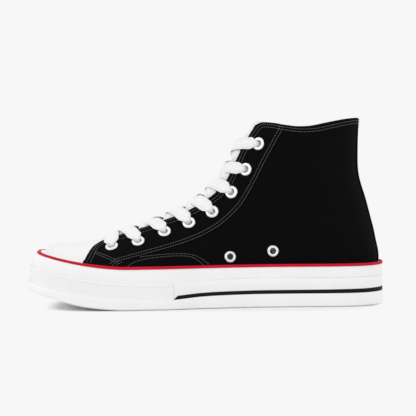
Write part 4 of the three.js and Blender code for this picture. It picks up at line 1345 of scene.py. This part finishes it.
for obj, slotName, nodes in pieces:
    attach(obj, "root")
    if nodes:
        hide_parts(*nodes)

studio = {
    "camera": (0.0029, -1.49, 0.1495), "target": (0.0029, 0.0, 0.0767), "lens": 161.6, "roll": -0.5, "sky": 1.0,
    "paper": 0.93, "floor": -0.0001, "wallAt": 4.0, "wallTop": 6.0, "floorHalf": 9.0, "lampTarget": (0, 0, 0.05),
    "shadowMiddle": 0.008, "shadowReach": (0.123, 0.056), "shadowFade": 0.25,
}
softboxes = [
    {"name": "overhead", "at": (0.1, -0.1, 1.6), "size": 1.8, "power": 1.5},
    {"name": "keySide", "at": (-1.5, -0.8, 0.9), "size": 0.9, "power": 4.0},
    {"name": "fillSide", "at": (1.5, -0.6, 0.7), "size": 0.9, "power": 1.4},
]


# white paper that takes a soft shadow close to the shoe and stays even farther away
def paperFinish():
    material, tree, shader = newFinish("studioPaper", (0.9, 0.9, 0.9), 1.0, 0.0)
    along, across = studio["shadowReach"]
    scaled = addNode(tree, "ShaderNodeVectorMath", {
        0: objectPlaces(tree), 1: (1 / along, 1 / across, 1), 2: (-studio["shadowMiddle"] / along, 0, 0),
    }, operation="MULTIPLY_ADD").outputs[0]
    squared = addNode(tree, "ShaderNodeVectorMath", {0: scaled, 1: scaled}, operation="MULTIPLY").outputs[0]
    length = addNode(tree, "ShaderNodeVectorMath", {0: squared}, operation="LENGTH").outputs["Value"]
    fade = addNode(tree, "ShaderNodeMapRange", {
        "From Min": 1.0, "From Max": 1.0 + studio["shadowFade"], "Value": length}, interpolation_type="SMOOTHSTEP")
    glow = addNode(tree, "ShaderNodeEmission", {"Color": (1, 1, 1, 1), "Strength": studio["paper"]})
    blend = addNode(tree, "ShaderNodeMixShader", {
        "Fac": fade.outputs["Result"], 1: shader.outputs[0], 2: glow.outputs[0]})
    tree.links.new(blend.outputs[0], tree.nodes["Material Output"].inputs["Surface"])
    return material


def makeStudio():
    half, back, low, top = studio["floorHalf"], studio["wallAt"], studio["floor"], studio["wallTop"]
    paper = bpy.data.meshes.new("floor")
    paper.from_pydata([(-half, -half, low), (half, -half, low), (half, back, low), (-half, back, low),
                       (half, back, top), (-half, back, top)], [], [(0, 1, 2, 3), (3, 2, 4, 5)])
    paper.materials.append(paperFinish())
    linkObject("floor", paper)

    world = bpy.data.worlds.new("studioSky")
    world.use_nodes = True
    feed(world.node_tree, world.node_tree.nodes["Background"], {"Color": (1, 1, 1, 1), "Strength": studio["sky"]})
    bpy.context.scene.world = world

    for box in softboxes:
        light = bpy.data.lights.new(box["name"], "AREA")
        light.shape = "SQUARE"
        light.size = box["size"]
        light.energy = box["power"]
        lamp = linkObject(box["name"], light)
        lamp.location = box["at"]
        aim = Vector(studio["lampTarget"]) - Vector(box["at"])
        lamp.rotation_euler = aim.to_track_quat("-Z", "Y").to_euler()

    camera = linkObject("camera", bpy.data.cameras.new("camera"))
    camera.data.lens = studio["lens"]
    camera.data.sensor_width = 36
    camera.location = studio["camera"]
    camera.rotation_mode = "QUATERNION"
    look = (Vector(studio["target"]) - Vector(studio["camera"])).to_track_quat("-Z", "Y").to_matrix().to_4x4()
    camera.rotation_quaternion = (look @ Matrix.Rotation(math.radians(studio["roll"]), 4, "Z")).to_quaternion()
    bpy.context.scene.camera = camera
    bpy.context.scene.view_settings.view_transform = "Standard"


makeStudio()
print("studio set")
bpy.context.view_layer.update()
print("triangles:", sum(len(face.vertices) - 2 for obj, _, _ in pieces for face in obj.data.polygons))
